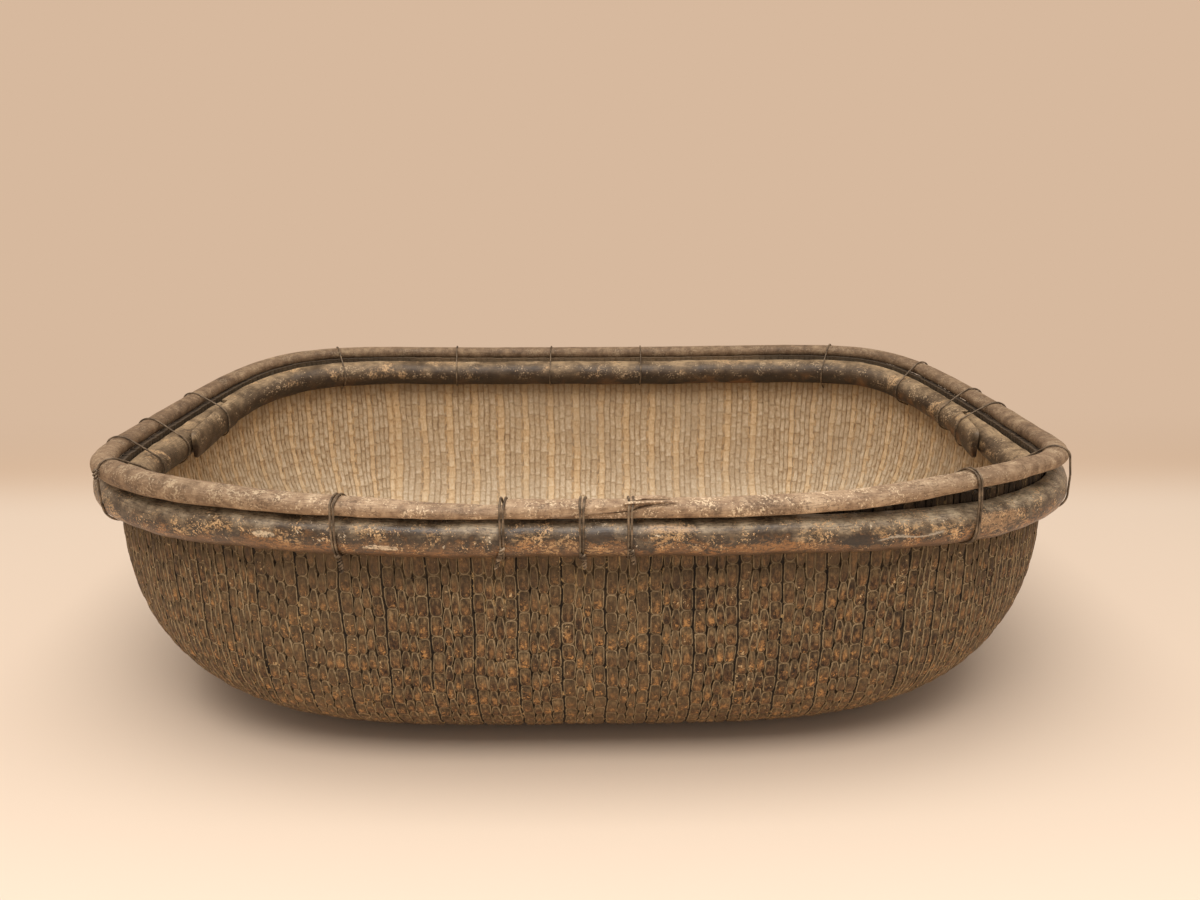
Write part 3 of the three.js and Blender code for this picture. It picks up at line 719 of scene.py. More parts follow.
dice = random.Random(rodLook["seed"])
strakeBlank = makeBlank("strakeBlank", rodSides, rodLook["strakeCuts"])
fanBlank = makeBlank("fanBlank", rodSides, rodLook["fanCuts"])
gapShare = rodLook["groupGap"] / strakeWidth
for number in range(1, basketShape["strakeCount"] + 1):
    placeAt = lambda share: (number - 1) * strakeWidth - basketShape["strakeReach"] + share * strakeWidth
    lineAt = lambda share: strakeLine(placeAt(share))
    rods = weaveGroup(strakeBlank, f"strakeRod{number}", lineAt, placeAt, 0.0, 1.0, gapShare, True, dice)
    standFor(joinPieces(f"strakeRods_{number}", rods), f"willow_strake_{number}", willow)
bundleWidth = fanLength / basketShape["fanCount"]
gapShare = rodLook["groupGap"] / bundleWidth
for side in ("left", "right"):
    for number in range(1, basketShape["fanCount"] + 1):
        rods = []
        lineAt = lambda share: fanLine(side, (number - 1 + share) / basketShape["fanCount"])
        placeAt = lambda share: (number - 1 + share) * bundleWidth
        for group in range(rodLook["fanGroups"]):
            start, end = group / rodLook["fanGroups"], (group + 1) / rodLook["fanGroups"]
            name = f"{side}Rod{number}_{group}"
            rods += weaveGroup(fanBlank, name, lineAt, placeAt, start, end, gapShare, False, dice)
        standFor(joinPieces(f"{side}FanRods_{number}", rods), f"willow_{side}_bundle_{number}", willow)
print("rods woven")

# Hoops, bent from split poles. Places along the rim are from the middle of the front
outerPole = {
    "side": 1,  # outside the wall
    "height": 0.024,
    "thickness": 0.014,
    "base": 0.0006,
    "drop": 0.0125,
    "leftSag": 0.0055,  # at the corners
    "rightSag": 0.0095,
    "tip": 0.0015,
    "lap": 0.060,
    "roundReach": 0.002,  # of the ends
    "shoulder": 0.35,
    "endLeast": 0.55,
    "whittle": 2.2,
    # place along, level, reach along and up, size
    "knots": ((0.223, 0.75, 0.009, 0.5, 0.0016), (-0.31, 0.2, 0.012, 0.7, 0.001), (0.07, 0.1, 0.01, 0.8, 0.0007)),
}
innerPole = {
    "side": -1,
    "height": 0.024,
    "thickness": 0.015,
    "base": 0.0086,
    "drop": 0.0125,
    "leftSag": 0.0,
    "rightSag": 0.0,
    "tip": 0.006,
    "shoulder": 0.0,
    "endLeast": 0.82,
    "whittle": 3.4,
    "rightLap": (-0.029, 0.036),
    "leftLap": (0.016, -0.087),
    "frontRound": 0.004,
    "backRound": 0.007,
    "knots": ((0.33, 0.4, 0.012, 0.6, 0.0012), (1.15, 0.3, 0.01, 0.6, 0.001), (1.6, 0.5, 0.012, 0.6, 0.0012)),
}
topPole = {
    "width": 0.016,
    "height": 0.011,
    "overhang": 0.005,
    "lap": 0.072,
    "lapMiddle": 0.0145,
    "tip": 0.0015,
    "lift": 0.002,
    "liftAlong": 0.250,
    "liftReach": 0.060,
    "swell": 0.8,  # share of the outer pole's sag, over the left front corner
    "swellShift": 0.55,
    "hollow": 0.0036,  # whittled off the top, left of the lap
    "hollowStart": 0.150,
    "hollowEnd": 0.047,
    "hollowStep": 0.002,
    "tornLap": ((0, 0), (0.3, 0.22), (0.68, 0.5), (0.78, 0.82), (1, 1)),  # share of the lap, share of the height
    "lumps": 0.055,
    "mostBulge": 1.02,
    "roundness": 0.9,
    "squareUnder": 0.3,
    "cutRoundness": 0.07,
}
sagPower = {"left": 4, "right": 2}
lapGap = 0.0003
poleShape = {
    "roundness": 0.86,
    "flatSide": 0.96,  # the flat side is a little hollow, so the section keeps its corners
    "endMiddle": 0.45,  # share of the depth that the ends are rounded to
    "whittleFrom": 0.3,
    "bulgeFrom": 0.02,
    "bulgeUp": 0.7,
    "sides": 24,
    "cuts": (39, 19),
    "smoothAngle": 50,
}
poleLumps = {
    "size": 0.00045,
    "wander": 0.0007,
    "quietReach": 0.012,
    # period, turns, size
    "waves": ((0.43, 0, 0.9), (0.171, 1, 0.8), (0.083, 2, 0.6), (0.037, 1, 0.4), (0.023, 3, 0.3)),
    "seed": 5,
}
tieWire = {
    "diameter": 0.0014,
    "pitch": 0.0024,
    "pinch": 0.28,  # turns are closer together on the outer face
    "pinchTurn": 0.8,
    "drift": 0.0002,
    "driftStep": 0.13,
    "clear": 0.0003,
    "sides": 48,
    "hoopSteps": 25,
    "topSteps": 33,
    "smoothAngle": 60,
    "seed": 23,
}

# Bundle, share of the bundle's width, turns of wire
tieRows = {
    "front": ((3, 0.21, 2), (6, 0.79, 2), (8, 0.5, 2), (9, 0.54, 2)),
    "right": ((1, 0.52, 2), (3, 0.14, 1), (5, 0.71, 1), (6, 0.46, 1), (7, 0.7, 1), (9, 0.22, 1)),
    "back": ((10, 0.68, 1), (7, 0.2, 1), (3, 0.56, 1)),
    "left": ((1, 0.78, 1), (4, 0.53, 1), (5, 0.84, 1), (6, 0.75, 1), (8, 0.29, 1)),
}
ties = {f"tie_{side}_{i}": (side, *row) for side, rows in tieRows.items() for i, row in enumerate(rows, 1)}


def tieAlong(side, bundle, share):
    if side in ("left", "right"):
        return sideMiddle[side] + ((bundle - 1 + share) / basketShape["fanCount"] - 0.5) * fanLength
    x = (bundle - 1 + share) * strakeWidth - basketShape["strakeReach"]
    along = math.copysign(np.interp(abs(x), rimPoints[frontRight, 0], rimAlong[frontRight]), x)
    return along if side == "front" else sideMiddle["back"] - along


tiePlaces = {name: tieAlong(*place[:3]) for name, place in ties.items()}


def rimDistance(along, other):
    apart = np.mod(along - other, perimeter)
    return np.minimum(apart, perimeter - apart)


# Poles are smooth where wire binds them, and a little lumpy elsewhere
def quietness(along):
    calm = np.ones(np.shape(along))
    for place in tiePlaces.values():
        calm *= 1 - np.exp(-(rimDistance(along, place) / poleLumps["quietReach"]) ** 2)
    return calm


def lumps(along, turn, dice):
    total = np.zeros(np.broadcast(along, turn).shape)
    for period, around, size in poleLumps["waves"]:
        total += size * np.sin(fullTurn * along / period + around * turn + dice.uniform(*anyPhase))
    return total / 2


def lapShare(along, start, end):
    share = (np.mod(along, perimeter) - start) / (end - start)
    return np.where((share > -1e-6) & (share < 1 + 1e-6), share, np.nan)


def lapDepths(share, pole):
    wallSide = pole["thickness"] - (pole["thickness"] - pole["tip"]) * share
    freeSide = pole["tip"] + (pole["thickness"] - 2 * pole["tip"] - lapGap) * share
    return wallSide, freeSide


def outerLapShare(along):
    return lapShare(along, sideMiddle["back"] + outerPole["lap"] / 2, sideMiddle["back"] - outerPole["lap"] / 2)


def innerLapShare(along):
    right = lapShare(along, *(sideMiddle["right"] + reach for reach in innerPole["rightLap"]))
    left = lapShare(along, *(sideMiddle["left"] + reach for reach in innerPole["leftLap"]))
    return np.where(np.isnan(right), left, right)


# Base and depth of a half round pole at each place, on the wall's side or the free side of a lap
def poleDepths(pole, share, free):
    wallSide, freeSide = lapDepths(share, pole)
    lapped = ~np.isnan(share)
    depth = np.where(lapped, np.where(free, freeSide, wallSide), pole["thickness"])
    base = np.where(lapped & free, pole["base"] + wallSide + lapGap, pole["base"])
    return base, depth


def halfRound(turn):
    out = np.where(np.cos(turn) > 0, np.abs(np.cos(turn)) ** poleShape["roundness"], 0.0)
    return out, np.sin(turn)


def endRounding(alongs, reach, least):
    fromEnd = np.minimum(alongs - alongs[0], alongs[-1] - alongs)
    return least + (1 - least) * np.sqrt(1 - (1 - np.minimum(fromEnd / reach, 1)) ** 2)


def topLift(along):
    return topPole["lift"] * np.exp(-(rimDistance(along, topPole["liftAlong"]) / topPole["liftReach"]) ** 2)


def poleSag(point, pole):
    corner = np.sin(2 * rimTurn(point))
    leftSag, rightSag = pole["leftSag"] * corner ** sagPower["left"], pole["rightSag"] * corner ** sagPower["right"]
    return np.where(point[..., 0] < 0, leftSag, rightSag)


def poleMiddle(point, pole):
    return rimHeight(point) - pole["drop"] - pole["height"] / 2 - poleSag(point, pole)


# Lowest and highest points of the top pole's section, and how far out it is moved
def topSpan(alongs):
    point, _ = rimAt(alongs)
    swell = np.where((point < 0).all(-1), topPole["swell"] * poleSag(point, outerPole), 0)
    high = rimHeight(point) + topLift(alongs)
    return high - topPole["height"] - swell, high, swell * topPole["swellShift"]


def topHollow(alongs):
    toEnd = perimeter - topPole["hollowEnd"] - alongs
    share = np.clip(1 - toEnd / (topPole["hollowStart"] - topPole["hollowEnd"]), 0, 1)
    after = np.clip(1 + toEnd / topPole["hollowStep"], 0, 1)
    return topPole["hollow"] * share ** 2 * (3 - 2 * share) * after


# A blank laid along the rim: how far out and how high its points are, and its marks for the finish
def layPole(blank, name, rim, distance, height, *marks):
    point, outward = rim
    points, layer = np.empty((2, *distance.shape, 3))
    points[..., :2] = point[:, None] + outward[:, None] * distance[..., None]
    points[..., 2] = height
    for i, mark in enumerate(marks):
        layer[..., i] = mark
    return shapeBlank(blank, name, points, {"pole": layer})


# A half round pole bent along the rim, outside the wall or inside it
def bendPole(name, node, alongs, pole, share, free, roundReach, finish):
    base, depth = (value[:, None] for value in poleDepths(pole, share, free))
    turns = poleBlank["turns"]
    rim = rimAt(alongs)
    calm = quietness(alongs)
    middle = poleMiddle(rim[0], pole) + poleLumps["wander"] * calm * lumps(alongs, 0.0, dice)
    out, up = halfRound(turns)
    facing = np.cos(turns)
    shoulder = np.maximum(up, 1e-9) ** (1 - pole["shoulder"] * calm)[:, None]  # squarer above, less so under wire
    flatUp = np.where(facing > 0, np.where(up > 0, shoulder, up), up * poleShape["flatSide"])
    bulge = lumps(alongs[:, None], turns, dice) * poleLumps["size"] * calm[:, None]
    for place, level, reach, rise, size in pole["knots"]:
        near = (rimDistance(alongs, place) / reach)[:, None] ** 2 + ((up - level) / rise) ** 2
        bulge = bulge + size * np.exp(-near) * (out > 0)
    rounding = endRounding(alongs, roundReach, pole["endLeast"])[:, None]
    thick = depth * out + np.where(out > poleShape["bulgeFrom"], bulge, 0)
    endMiddle = depth * poleShape["endMiddle"]
    thick = endMiddle + (thick - endMiddle) * rounding
    whittled = np.where(facing > poleShape["whittleFrom"], rounding, rounding ** pole["whittle"])
    rise = (pole["height"] / 2 + bulge * poleShape["bulgeUp"]) * flatUp * whittled
    distance = pole["side"] * (base + np.maximum(thick, 0.0))
    along = alongs - perimeter * np.floor(alongs.mean() / perimeter + 0.1)
    around = (np.mod(turns + math.pi, fullTurn) - math.pi) * pole["height"] / 2
    hoop = layPole(poleBlank, name, rim, distance, middle[:, None] + rise, along[:, None], around, up)
    standFor(joinPieces(name, [hoop], poleShape["smoothAngle"]), node, finish)


# Pole finishes: marks of the pole, and noises from the grain and broad blotches down to the finest
def poleNoise(place, grain, mottle, fine):
    along, around, level = readLayer("pole")
    grain = cloud(gather(along * 0.12, around), 900.0, *grain)
    return along, around, level, grain, cloud(place, 30.0, 5.0, 0.6), cloud(place, *mottle), cloud(place, *fine)


outerTones = {
    "wood": {
        0.05: (140, 99, 59),
        0.2: (122, 86, 53),
        0.36: (130, 92, 56),
        0.5: (60, 47, 34),
        # the top tones, lighter, are partly a painted satin highlight
        0.66: (118, 100, 78),
        0.9: (192, 171, 140),
    },
    "grain": (58, 45, 34),
    "streak": (46, 35, 25),
    "worn": (226, 182, 128),
    "orange": (190, 130, 70),
    "stain": (56, 46, 37),
    "tan": (222, 180, 130),
    "chalk": (234, 212, 180),
    # painted shade on the pole's underside
    "underside": (78, 59, 42),
    "scratch": (200, 184, 162),
}
outerFinish, shader = newMaterial("darkPolePatina", 0.6)
place = objectPlace()
noises = poleNoise(place, (4.0, 0.6), (120.0, 5.0, 0.68), (860.0, 4.0, 0.66))
along, around, level, grain, blotch, mottle, fine = noises
# lighter towards the pole's top: a painted satin highlight and painted light against the top pole's shade, over grey
# patina; orange worn wood lower down
tilt = level * 0.34 + (blotch - 0.5) * 0.7 + (mottle - 0.5) * 0.6
streak = cloud(gather(along * 0.4, around), 640.0, 4.0, 0.68)
crumbs = stretch(fine * 0.4 + streak * 0.6, 0.48, 0.55)
worn = patches(place, 46.0, 0.52, 0.08) * crumbs * stretch(calc("ABSOLUTE", level + 0.15), 0.75, 0.4, 0.1, 0.55)
orange = patches(moved(place, 0.7, 0.2, 0.9), 48.0, 0.48, 0.1) * crumbs * stretch(level, 0.4, -0.2, 0.0, 0.6)
stain = patches(moved(place, 0.1, 0.8, 0.4), 40.0, 0.53, 0.1) * stretch(fine, 0.62, 0.42, 0.25, 0.7)
tan = flecks(place, 760.0, 0.61)
chalk = flecks(moved(place, 0.4, 0.1, 0.2), 420.0, 0.7)
wood = layered(
    ramp(tilt + 0.5, outerTones["wood"]),
    outerTones,
    grain=stretch(grain, 0.45, 0.68, 0.0, 0.5),
    streak=stretch(streak, 0.52, 0.36, 0.0, 0.58),
    worn=worn,
    orange=orange,
    stain=stain,
    tan=tan * 0.85,
    chalk=chalk * 0.85,
)
# Place along the pole, level, reach along and up, colour, strength
outerMarks = [
    (-0.118, -0.22, 0.013, 0.15, (232, 208, 176), 0.9),  # chalky patches
    (-0.188, 0.1, 0.008, 0.12, (226, 202, 168), 0.8),
    (0.051, 0.6, 0.018, 0.24, (206, 168, 126), 0.7),
    (0.256, 0.2, 0.022, 0.5, (190, 148, 106), 0.6),
    (0.109, -0.35, 0.034, 0.34, (166, 116, 66), 0.7),  # worn through to orange wood
    (-0.174, -0.45, 0.024, 0.3, (160, 112, 64), 0.65),
    (0.163, -0.1, 0.012, 0.3, (46, 37, 30), 0.9),  # scorched oval
    (0.01, 0.4, 0.010, 0.4, (60, 48, 38), 0.7),
]
broken = stretch(fine * 0.5 + streak * 0.5, 0.4, 0.55, 0.1, 1.0)
brokenFrom = 300  # sum of a pale mark's tones
onPole = {"Along": along, "Height": level, "Vector": place}
for middle, rise, reach, spread, colour, strength in outerMarks:
    mark = mask(markGroup, **onPole, Middle=middle, Level=rise, Reach=reach, Rise=spread)
    if sum(colour) > brokenFrom:
        mark = mark * broken
    wood = blend(mark * strength, wood, colour)
# painted shade along the pole's underside
under = level + (mottle - 0.5) * 0.3
# A pale scratch that wanders up to the right
scratchPlace = 0.196
fromScratch = along - scratchPlace
scratchLine = calc("SINE", along * 210.0) * 0.07 + fromScratch * 2.0
scratchOff = calc("ABSOLUTE", level - scratchLine + 0.02) + (fine - 0.5) * 0.22
scratch = stretch(scratchOff, 0.07, 0.01) * stretch(calc("ABSOLUTE", fromScratch), 0.023, 0.018)
wood = layered(wood, outerTones, underside=stretch(under, -0.4, -0.78, 0.0, 0.72), scratch=scratch * 0.7)
relief = grain * 0.5 + fine * 0.5 + (tan + chalk) * 0.3
dress(shader, wood, stretch(blotch, 0.3, 0.7, 0.3, 0.52), relief, 0.5, 0.0008)

innerTones = {
    "wood": {0.08: (28, 22, 17), 0.3: (43, 33, 24), 0.5: (66, 51, 36), 0.68: (102, 83, 61), 0.9: (172, 144, 109)},
    "grain": (48, 37, 28),
    "worn": (200, 162, 118),
    "tan": (206, 176, 138),
    "orange": (134, 94, 57),
}
innerFinish, shader = newMaterial("innerPolePatina", 0.4)
place = objectPlace()
noises = poleNoise(place, (4.0, 0.6), (110.0, 5.0, 0.66), (620.0, 4.0, 0.62))
_, _, level, grain, blotch, mottle, fine = noises
# lighter towards the top and near black underneath: partly painted light and shade over the dark patina
tilt = level * 0.3 + (blotch - 0.5) * 0.8 + (mottle - 0.5) * 0.5
high = stretch(level, -0.6, 0.2)
worn = patches(place, 34.0, 0.55, 0.1) * stretch(fine, 0.42, 0.56) * high
orange = patches(moved(place, 0.5, 0.3, 0.6), 18.0, 0.5, 0.12) * stretch(split(place)[0], -0.1, 0.2, 0.25, 1.0)
wood = layered(
    ramp(tilt + 0.5, innerTones["wood"]),
    innerTones,
    grain=stretch(grain, 0.45, 0.68, 0.0, 0.5),
    worn=worn,
    tan=flecks(place, 560.0, 0.62) * (high * 0.65),
    orange=orange * stretch(level, 0.25, -0.35, 0.0, 0.6),
)
relief = grain * 0.5 + fine * 0.5 + mottle * 0.5
dress(shader, wood, stretch(blotch, 0.3, 0.7, 0.42, 0.66), relief, 0.55, 0.0009)

topTones = {
    "wood": {0.32: (112, 89, 69), 0.44: (160, 130, 101), 0.55: (190, 159, 127), 0.7: (216, 188, 156)},
    "grain": (108, 84, 63),
    "stain": (94, 73, 55),
    "dark": (96, 75, 57),
    "tan": (236, 208, 171),
    # painted shade on the pole's underside
    "underside": (84, 64, 46),
    "endsAndBack": {0.34: (66, 50, 36), 0.5: (104, 81, 58), 0.68: (154, 126, 94)},
}
topFinish, shader = newMaterial("dryTopPole", 0.35)
place = objectPlace()
lengthways, backwards, _ = split(place)
noises = poleNoise(place, (5.0, 0.65), (140.0, 5.0, 0.66), (640.0, 4.0, 0.62))
_, _, level, grain, blotch, mottle, fine = noises
mixed = blotch * 0.4 + mottle * 0.6
stain = patches(place, 70.0, 0.55, 0.08) * stretch(fine, 0.6, 0.4, 0.2, 0.7)
away = stretch(backwards, -0.2, -0.09, 0.0, 0.72)  # darker round the ends and along the back
away = calc("MAXIMUM", away, stretch(lengthways, -0.11, -0.25, 0.0, 0.55))
away = calc("MAXIMUM", away, stretch(lengthways, 0.14, 0.26, 0.0, 0.52))
wood = layered(
    ramp(mixed, topTones["wood"]),
    topTones,
    grain=stretch(grain, 0.48, 0.66, 0.0, 0.6),
    stain=stain,
    dark=flecks(moved(place, 0.2, 0.3, 0.1), 620.0, 0.58) * 0.6,
    tan=flecks(place, 680.0, 0.58) * 0.85,
    # painted shade on the pole's underside
    underside=stretch(level, -0.55, -1.0, 0.0, 0.5),
)
wood = blend(away, wood, ramp(mixed, topTones["endsAndBack"]))
relief = grain * 0.7 + fine * 0.5 + mottle * 0.5
dress(shader, wood, stretch(blotch, 0.3, 0.7, 0.55, 0.8), relief, 0.6, 0.0009)

wireTones = {
    "iron": {0.35: (66, 56, 47), 0.5: (106, 91, 74), 0.66: (156, 132, 104)},
    "bare": (196, 172, 144),  # the twisted ends: rust rubbed off, with painted highlights and painted light in the hoop's shadow
}
wireFinish, shader = newMaterial("rustedTieWire", 0.5)
place = objectPlace()
blotch = cloud(place, 160.0, 4.0, 0.6)
fine = cloud(place, 1500.0, 3.0, 0.6)
iron = ramp(blotch * 0.7 + fine * 0.3, wireTones["iron"])
tail, _, _ = readLayer("tail")
bare = tail * stretch(blotch + (fine - 0.5), 0.42, 0.66, 0.05, 0.75)
iron = blend(bare, iron, wireTones["bare"])
plug(shader.inputs["Metallic"], stretch(blotch, 0.35, 0.65, 0.6, 0.25))
dress(shader, iron, stretch(fine, 0.3, 0.7, 0.42, 0.68), fine, 0.4, 0.0003)
print("pole and wire finishes ready")

dice = random.Random(poleLumps["seed"])
poleBlank = makeBlank("poleBlank", poleShape["sides"], poleShape["cuts"])
ringShare = np.linspace(0, 1, poleBlank["rings"] + 1)
lapStart = sideMiddle["back"] - outerPole["lap"] / 2
alongs = lapStart + ringShare * (perimeter + outerPole["lap"])
free = alongs >= lapStart + perimeter - 1e-6
rounding = outerPole["roundReach"]
bendPole("outerPole", "outer_hoop", alongs, outerPole, outerLapShare(alongs), free, rounding, outerFinish)
right = [sideMiddle["right"] + reach for reach in innerPole["rightLap"]]
left = [sideMiddle["left"] + reach for reach in innerPole["leftLap"]]
for name, ends, free in (("front", (left[1] - perimeter, right[1]), False), ("back", (right[0], left[0]), True)):
    alongs = np.interp(ringShare, [0, 1], ends)
    share, rounding = innerLapShare(alongs), innerPole[f"{name}Round"]
    bendPole(f"innerPole{name.title()}", f"inner_hoop_{name}", alongs, innerPole, share, free, rounding, innerFinish)


# The thin pole on the rods' ends, lapped on itself at the front
def topSection(alongs, start, end):
    low, high, shift = topSpan(alongs)
    high = high - topHollow(alongs)
    slack = topPole["height"] - 2 * topPole["tip"] - lapGap
    fromStart, toEnd = (alongs - start) / topPole["lap"], (end - alongs) / topPole["lap"]
    torn = [np.interp(share, *zip(*topPole["tornLap"])) for share in (fromStart, 1 - toEnd)]
    high = np.where(fromStart < 1, low + topPole["tip"] + slack * torn[0], high)
    low = np.where(toEnd <= 1, high - topPole["tip"] - slack * (1 - torn[1]), low)
    return low, high, shift


start = topPole["lapMiddle"] - topPole["lap"] / 2
end = start + perimeter + topPole["lap"]
alongs = start + ringShare * (end - start)
low, high, shift = topSection(alongs, start, end)
turns = poleBlank["turns"]
calm = quietness(alongs)[:, None]
width = topPole["width"] * np.sqrt(np.minimum((high - low) / topPole["height"], 1))
bulge = 1 + topPole["lumps"] * lumps(alongs[:, None], turns, dice) * calm
squared = np.sign(np.cos(turns)) * np.abs(np.cos(turns)) ** topPole["roundness"]
upper = np.sin(turns)[None] > 0
cutFace = ((alongs - start < topPole["lap"])[:, None] & upper) | ((end - alongs <= topPole["lap"])[:, None] & ~upper)
under = topPole["roundness"] - np.where(upper, 0, topPole["squareUnder"] * calm)
squaredUp = np.sign(np.sin(turns)) * np.abs(np.sin(turns))[None] ** np.where(cutFace, topPole["cutRoundness"], under)
wander = poleLumps["wander"] * calm[:, 0] * lumps(alongs, 1.0, dice)
distance = topPole["overhang"] + (shift + wander)[:, None] + width[:, None] / 2 * squared * bulge
halfHigh = ((high - low) / 2)[:, None]
height = ((low + high) / 2)[:, None] + halfHigh * squaredUp * np.minimum(bulge, topPole["mostBulge"])
around = (np.mod(turns + math.pi / 2, fullTurn) - math.pi) * topPole["width"] / 2
topPieces = [layPole(poleBlank, "topPole", rimAt(alongs), distance, height, alongs[:, None], around, squaredUp)]

# Frayed slivers at the upper tip of the lap: start, end, place across, half width, lift of the tip
slivers = [
    (0.024, 0.0560, 0.0105, 0.0020, 0.0008),
    (0.026, 0.0515, 0.0060, 0.0018, 0.0018),
    (0.028, 0.0490, 0.0020, 0.0016, 0.0012),
]
sliverLook = {
    "rise": 0.0004,
    "sink": 0.0006,
    "thickness": 0.0007,
    "curl": 2.4,
    "taper": 0.75,
    "taperPower": 1.5,
    "thinning": 0.5,
    "sides": 8,
    "cuts": (15,),
}
sliverBlank = makeBlank("sliverBlank", sliverLook["sides"], sliverLook["cuts"])
turns = sliverBlank["turns"]
shares = np.linspace(0, 1, sliverBlank["rings"] + 1)
for number, (first, last, out, half, lift) in enumerate(slivers):
    alongs = first + shares * (last - first)
    rim = rimAt(alongs)
    crest = rimHeight(rim[0]) + sliverLook["rise"] + lift * np.sin(shares * sliverLook["curl"])
    slim = half * (1 - sliverLook["taper"] * shares ** sliverLook["taperPower"])
    distance = out + slim[:, None] * np.cos(turns)
    thick = sliverLook["thickness"] * np.sin(turns) * (1 - sliverLook["thinning"] * shares[:, None])
    height = crest[:, None] - sliverLook["sink"] + thick
    marks = (alongs[:, None] + number, 0.001 * np.cos(turns), 0.8)
    topPieces.append(layPole(sliverBlank, f"sliver{number}", rim, distance, height, *marks))
standFor(joinPieces("topPole", topPieces, poleShape["smoothAngle"]), "top_hoop", topFinish)
print("hoops bent")


# Ties: wire round all the hoops and through the rods below them
def tieSections(place, turnCount):
    reach = (turnCount * tieWire["pitch"] + tieWire["diameter"]) / 2
    turns = np.linspace(-math.pi / 2, math.pi / 2, tieWire["hoopSteps"])
    found = []
    for along in (place - reach, place, place + reach):
        point, _ = rimAt(np.array([along]))
        for pole, share in ((outerPole, outerLapShare(along)), (innerPole, innerLapShare(along))):
            middle = float(poleMiddle(point, pole)[0])
            for free in (False, True):
                base, depth = poleDepths(pole, share, free)
                out, up = halfRound(turns)
                found.append(np.stack([pole["side"] * (base + depth * out), middle + pole["height"] / 2 * up], -1))
        low, high, shift = (float(value[0]) for value in topSpan(np.array([along])))
        full = np.linspace(0, fullTurn, tieWire["topSteps"])
        out = topPole["overhang"] + shift + topPole["width"] / 2 * np.cos(full)
        found.append(np.stack([out, (low + high) / 2 + (high - low) / 2 * np.sin(full)], -1))
    return np.concatenate(found)


def tieLoop(sections):
    count = tieWire["sides"]
    step = fullTurn / count
    angles = np.arange(count) * step - math.pi / 2
    out = np.stack([np.cos(angles), np.sin(angles)], -1)
    reach = (sections @ out.T).max(0) + tieWire["clear"] + tieWire["diameter"] / 2
    sideways = (np.roll(reach, -1) - reach * math.cos(step)) / math.sin(step)
    return out * reach[:, None] + np.stack([-out[:, 1], out[:, 0]], -1) * sideways[:, None]


def layWire(name, paths):
    curve = bpy.data.curves.new(name, "CURVE")
    curve.dimensions = "3D"
    curve.bevel_depth = tieWire["diameter"] / 2
    curve.bevel_resolution = 2
    curve.use_fill_caps = True
    for path in paths:
        spline = curve.splines.new("POLY")
        spline.points.add(len(path) - 1)
        for spot, point in zip(spline.points, path):
            spot.co = (*point, 1)
    wire = bpy.data.objects.new(name, curve)
    bpy.context.collection.objects.link(wire)
    pick([wire])
    bpy.ops.object.convert(target="MESH")
    return bpy.context.object


# Twisted ends on the outer pole's face: where on the loop they start, length, sideways lean, how far their rust is
# rubbed off and brightened by painted light
tails = {
    "tie_front_1": (5, 0.014, 0.001, 0.1),
    "tie_front_2": (11, 0.019, -0.005, 1.0),
    "tie_front_3": (8, 0.014, 0.001, 0.9),
    "tie_front_4": (10, 0.015, 0.002, 0.9),
    "tie_left_4": (8, 0.016, -0.004, 0.4),
    "tie_left_5": (15, 0.006, 0.002, 0.1),
    "tie_back_2": (7, 0.015, 0.002, 0.4),
    "tie_right_4": (7, 0.015, -0.002, 0.4),
}
tailLook = {
    "stand": 0.0016,
    "radius": 0.0012,
    "taper": 0.35,
    "pitch": 0.0042,
    "steps": 44,
    "lowest": 3,  # last point of the loop that a tail follows
    "hang": (-0.002, -0.03),  # its way from there on
}


# Two strands twisted round each other, down the outer side of a loop
def tailPaths(loop, lay, first, length, lean):
    lowest = tailLook["lowest"]
    rail = np.concatenate([loop[first:lowest - 1:-1], [loop[lowest] + tailLook["hang"]]])
    walked = walkedLength(rail)
    for strand in (0, math.pi):
        twist = []
        for part in np.linspace(0, 1, tailLook["steps"] + 1):
            out, up = (np.interp(part * length, walked, rail[:, i]) for i in (0, 1))
            angle = strand + part * length / tailLook["pitch"] * fullTurn
            radius = tailLook["radius"] * (1 - tailLook["taper"] * part)
            away = out + tailLook["stand"] + radius * math.sin(angle)
            twist.append(lay(away, up, lean * part + radius * math.cos(angle)))
        yield twist


dice = random.Random(tieWire["seed"])
count = tieWire["sides"]
for name, (*_, turnCount) in ties.items():
    (point,), (outward,) = rimAt(np.array([tiePlaces[name]]))
    sideways = np.array([-outward[1], outward[0], 0])
    lay = lambda out, up, aside: np.append(point + outward * out, up) + sideways * aside
    loop = tieLoop(tieSections(tiePlaces[name], turnCount))
    path = []
    drift = [dice.uniform(-tieWire["drift"], tieWire["drift"]) for _ in range(4)]
    for i in range(turnCount * count + 1):
        spread = 1 - tieWire["pinch"] * math.cos(fullTurn * i / count - tieWire["pinchTurn"])
        drifted = sum(d * math.sin(i * (n + 1) * tieWire["driftStep"]) for n, d in enumerate(drift))
        path.append(lay(*loop[i % count], tieWire["pitch"] * spread * (i / count - turnCount / 2) + drifted))
    *tail, bareness = tails.get(name, (0,))
    paths = [path, *(tailPaths(loop, lay, *tail) if tail else ())]
    wire = layWire(f"{name}Wire", paths)
    bpy.ops.object.shade_smooth_by_angle(angle=math.radians(tieWire["smoothAngle"]))
    sides = len(wire.data.vertices) // sum(len(path) for path in paths)
    marks = np.zeros((len(wire.data.vertices), 3))
    marks[len(path) * sides:] = bareness
    wire.data.attributes.new("tail", "FLOAT_VECTOR", "POINT").data.foreach_set("vector", marks.ravel())
    standFor(wire, name, wireFinish)
print("ties wound")

for blank in (strakeBlank, fanBlank, poleBlank, sliverBlank):
    bpy.data.objects.remove(blank["stick"])

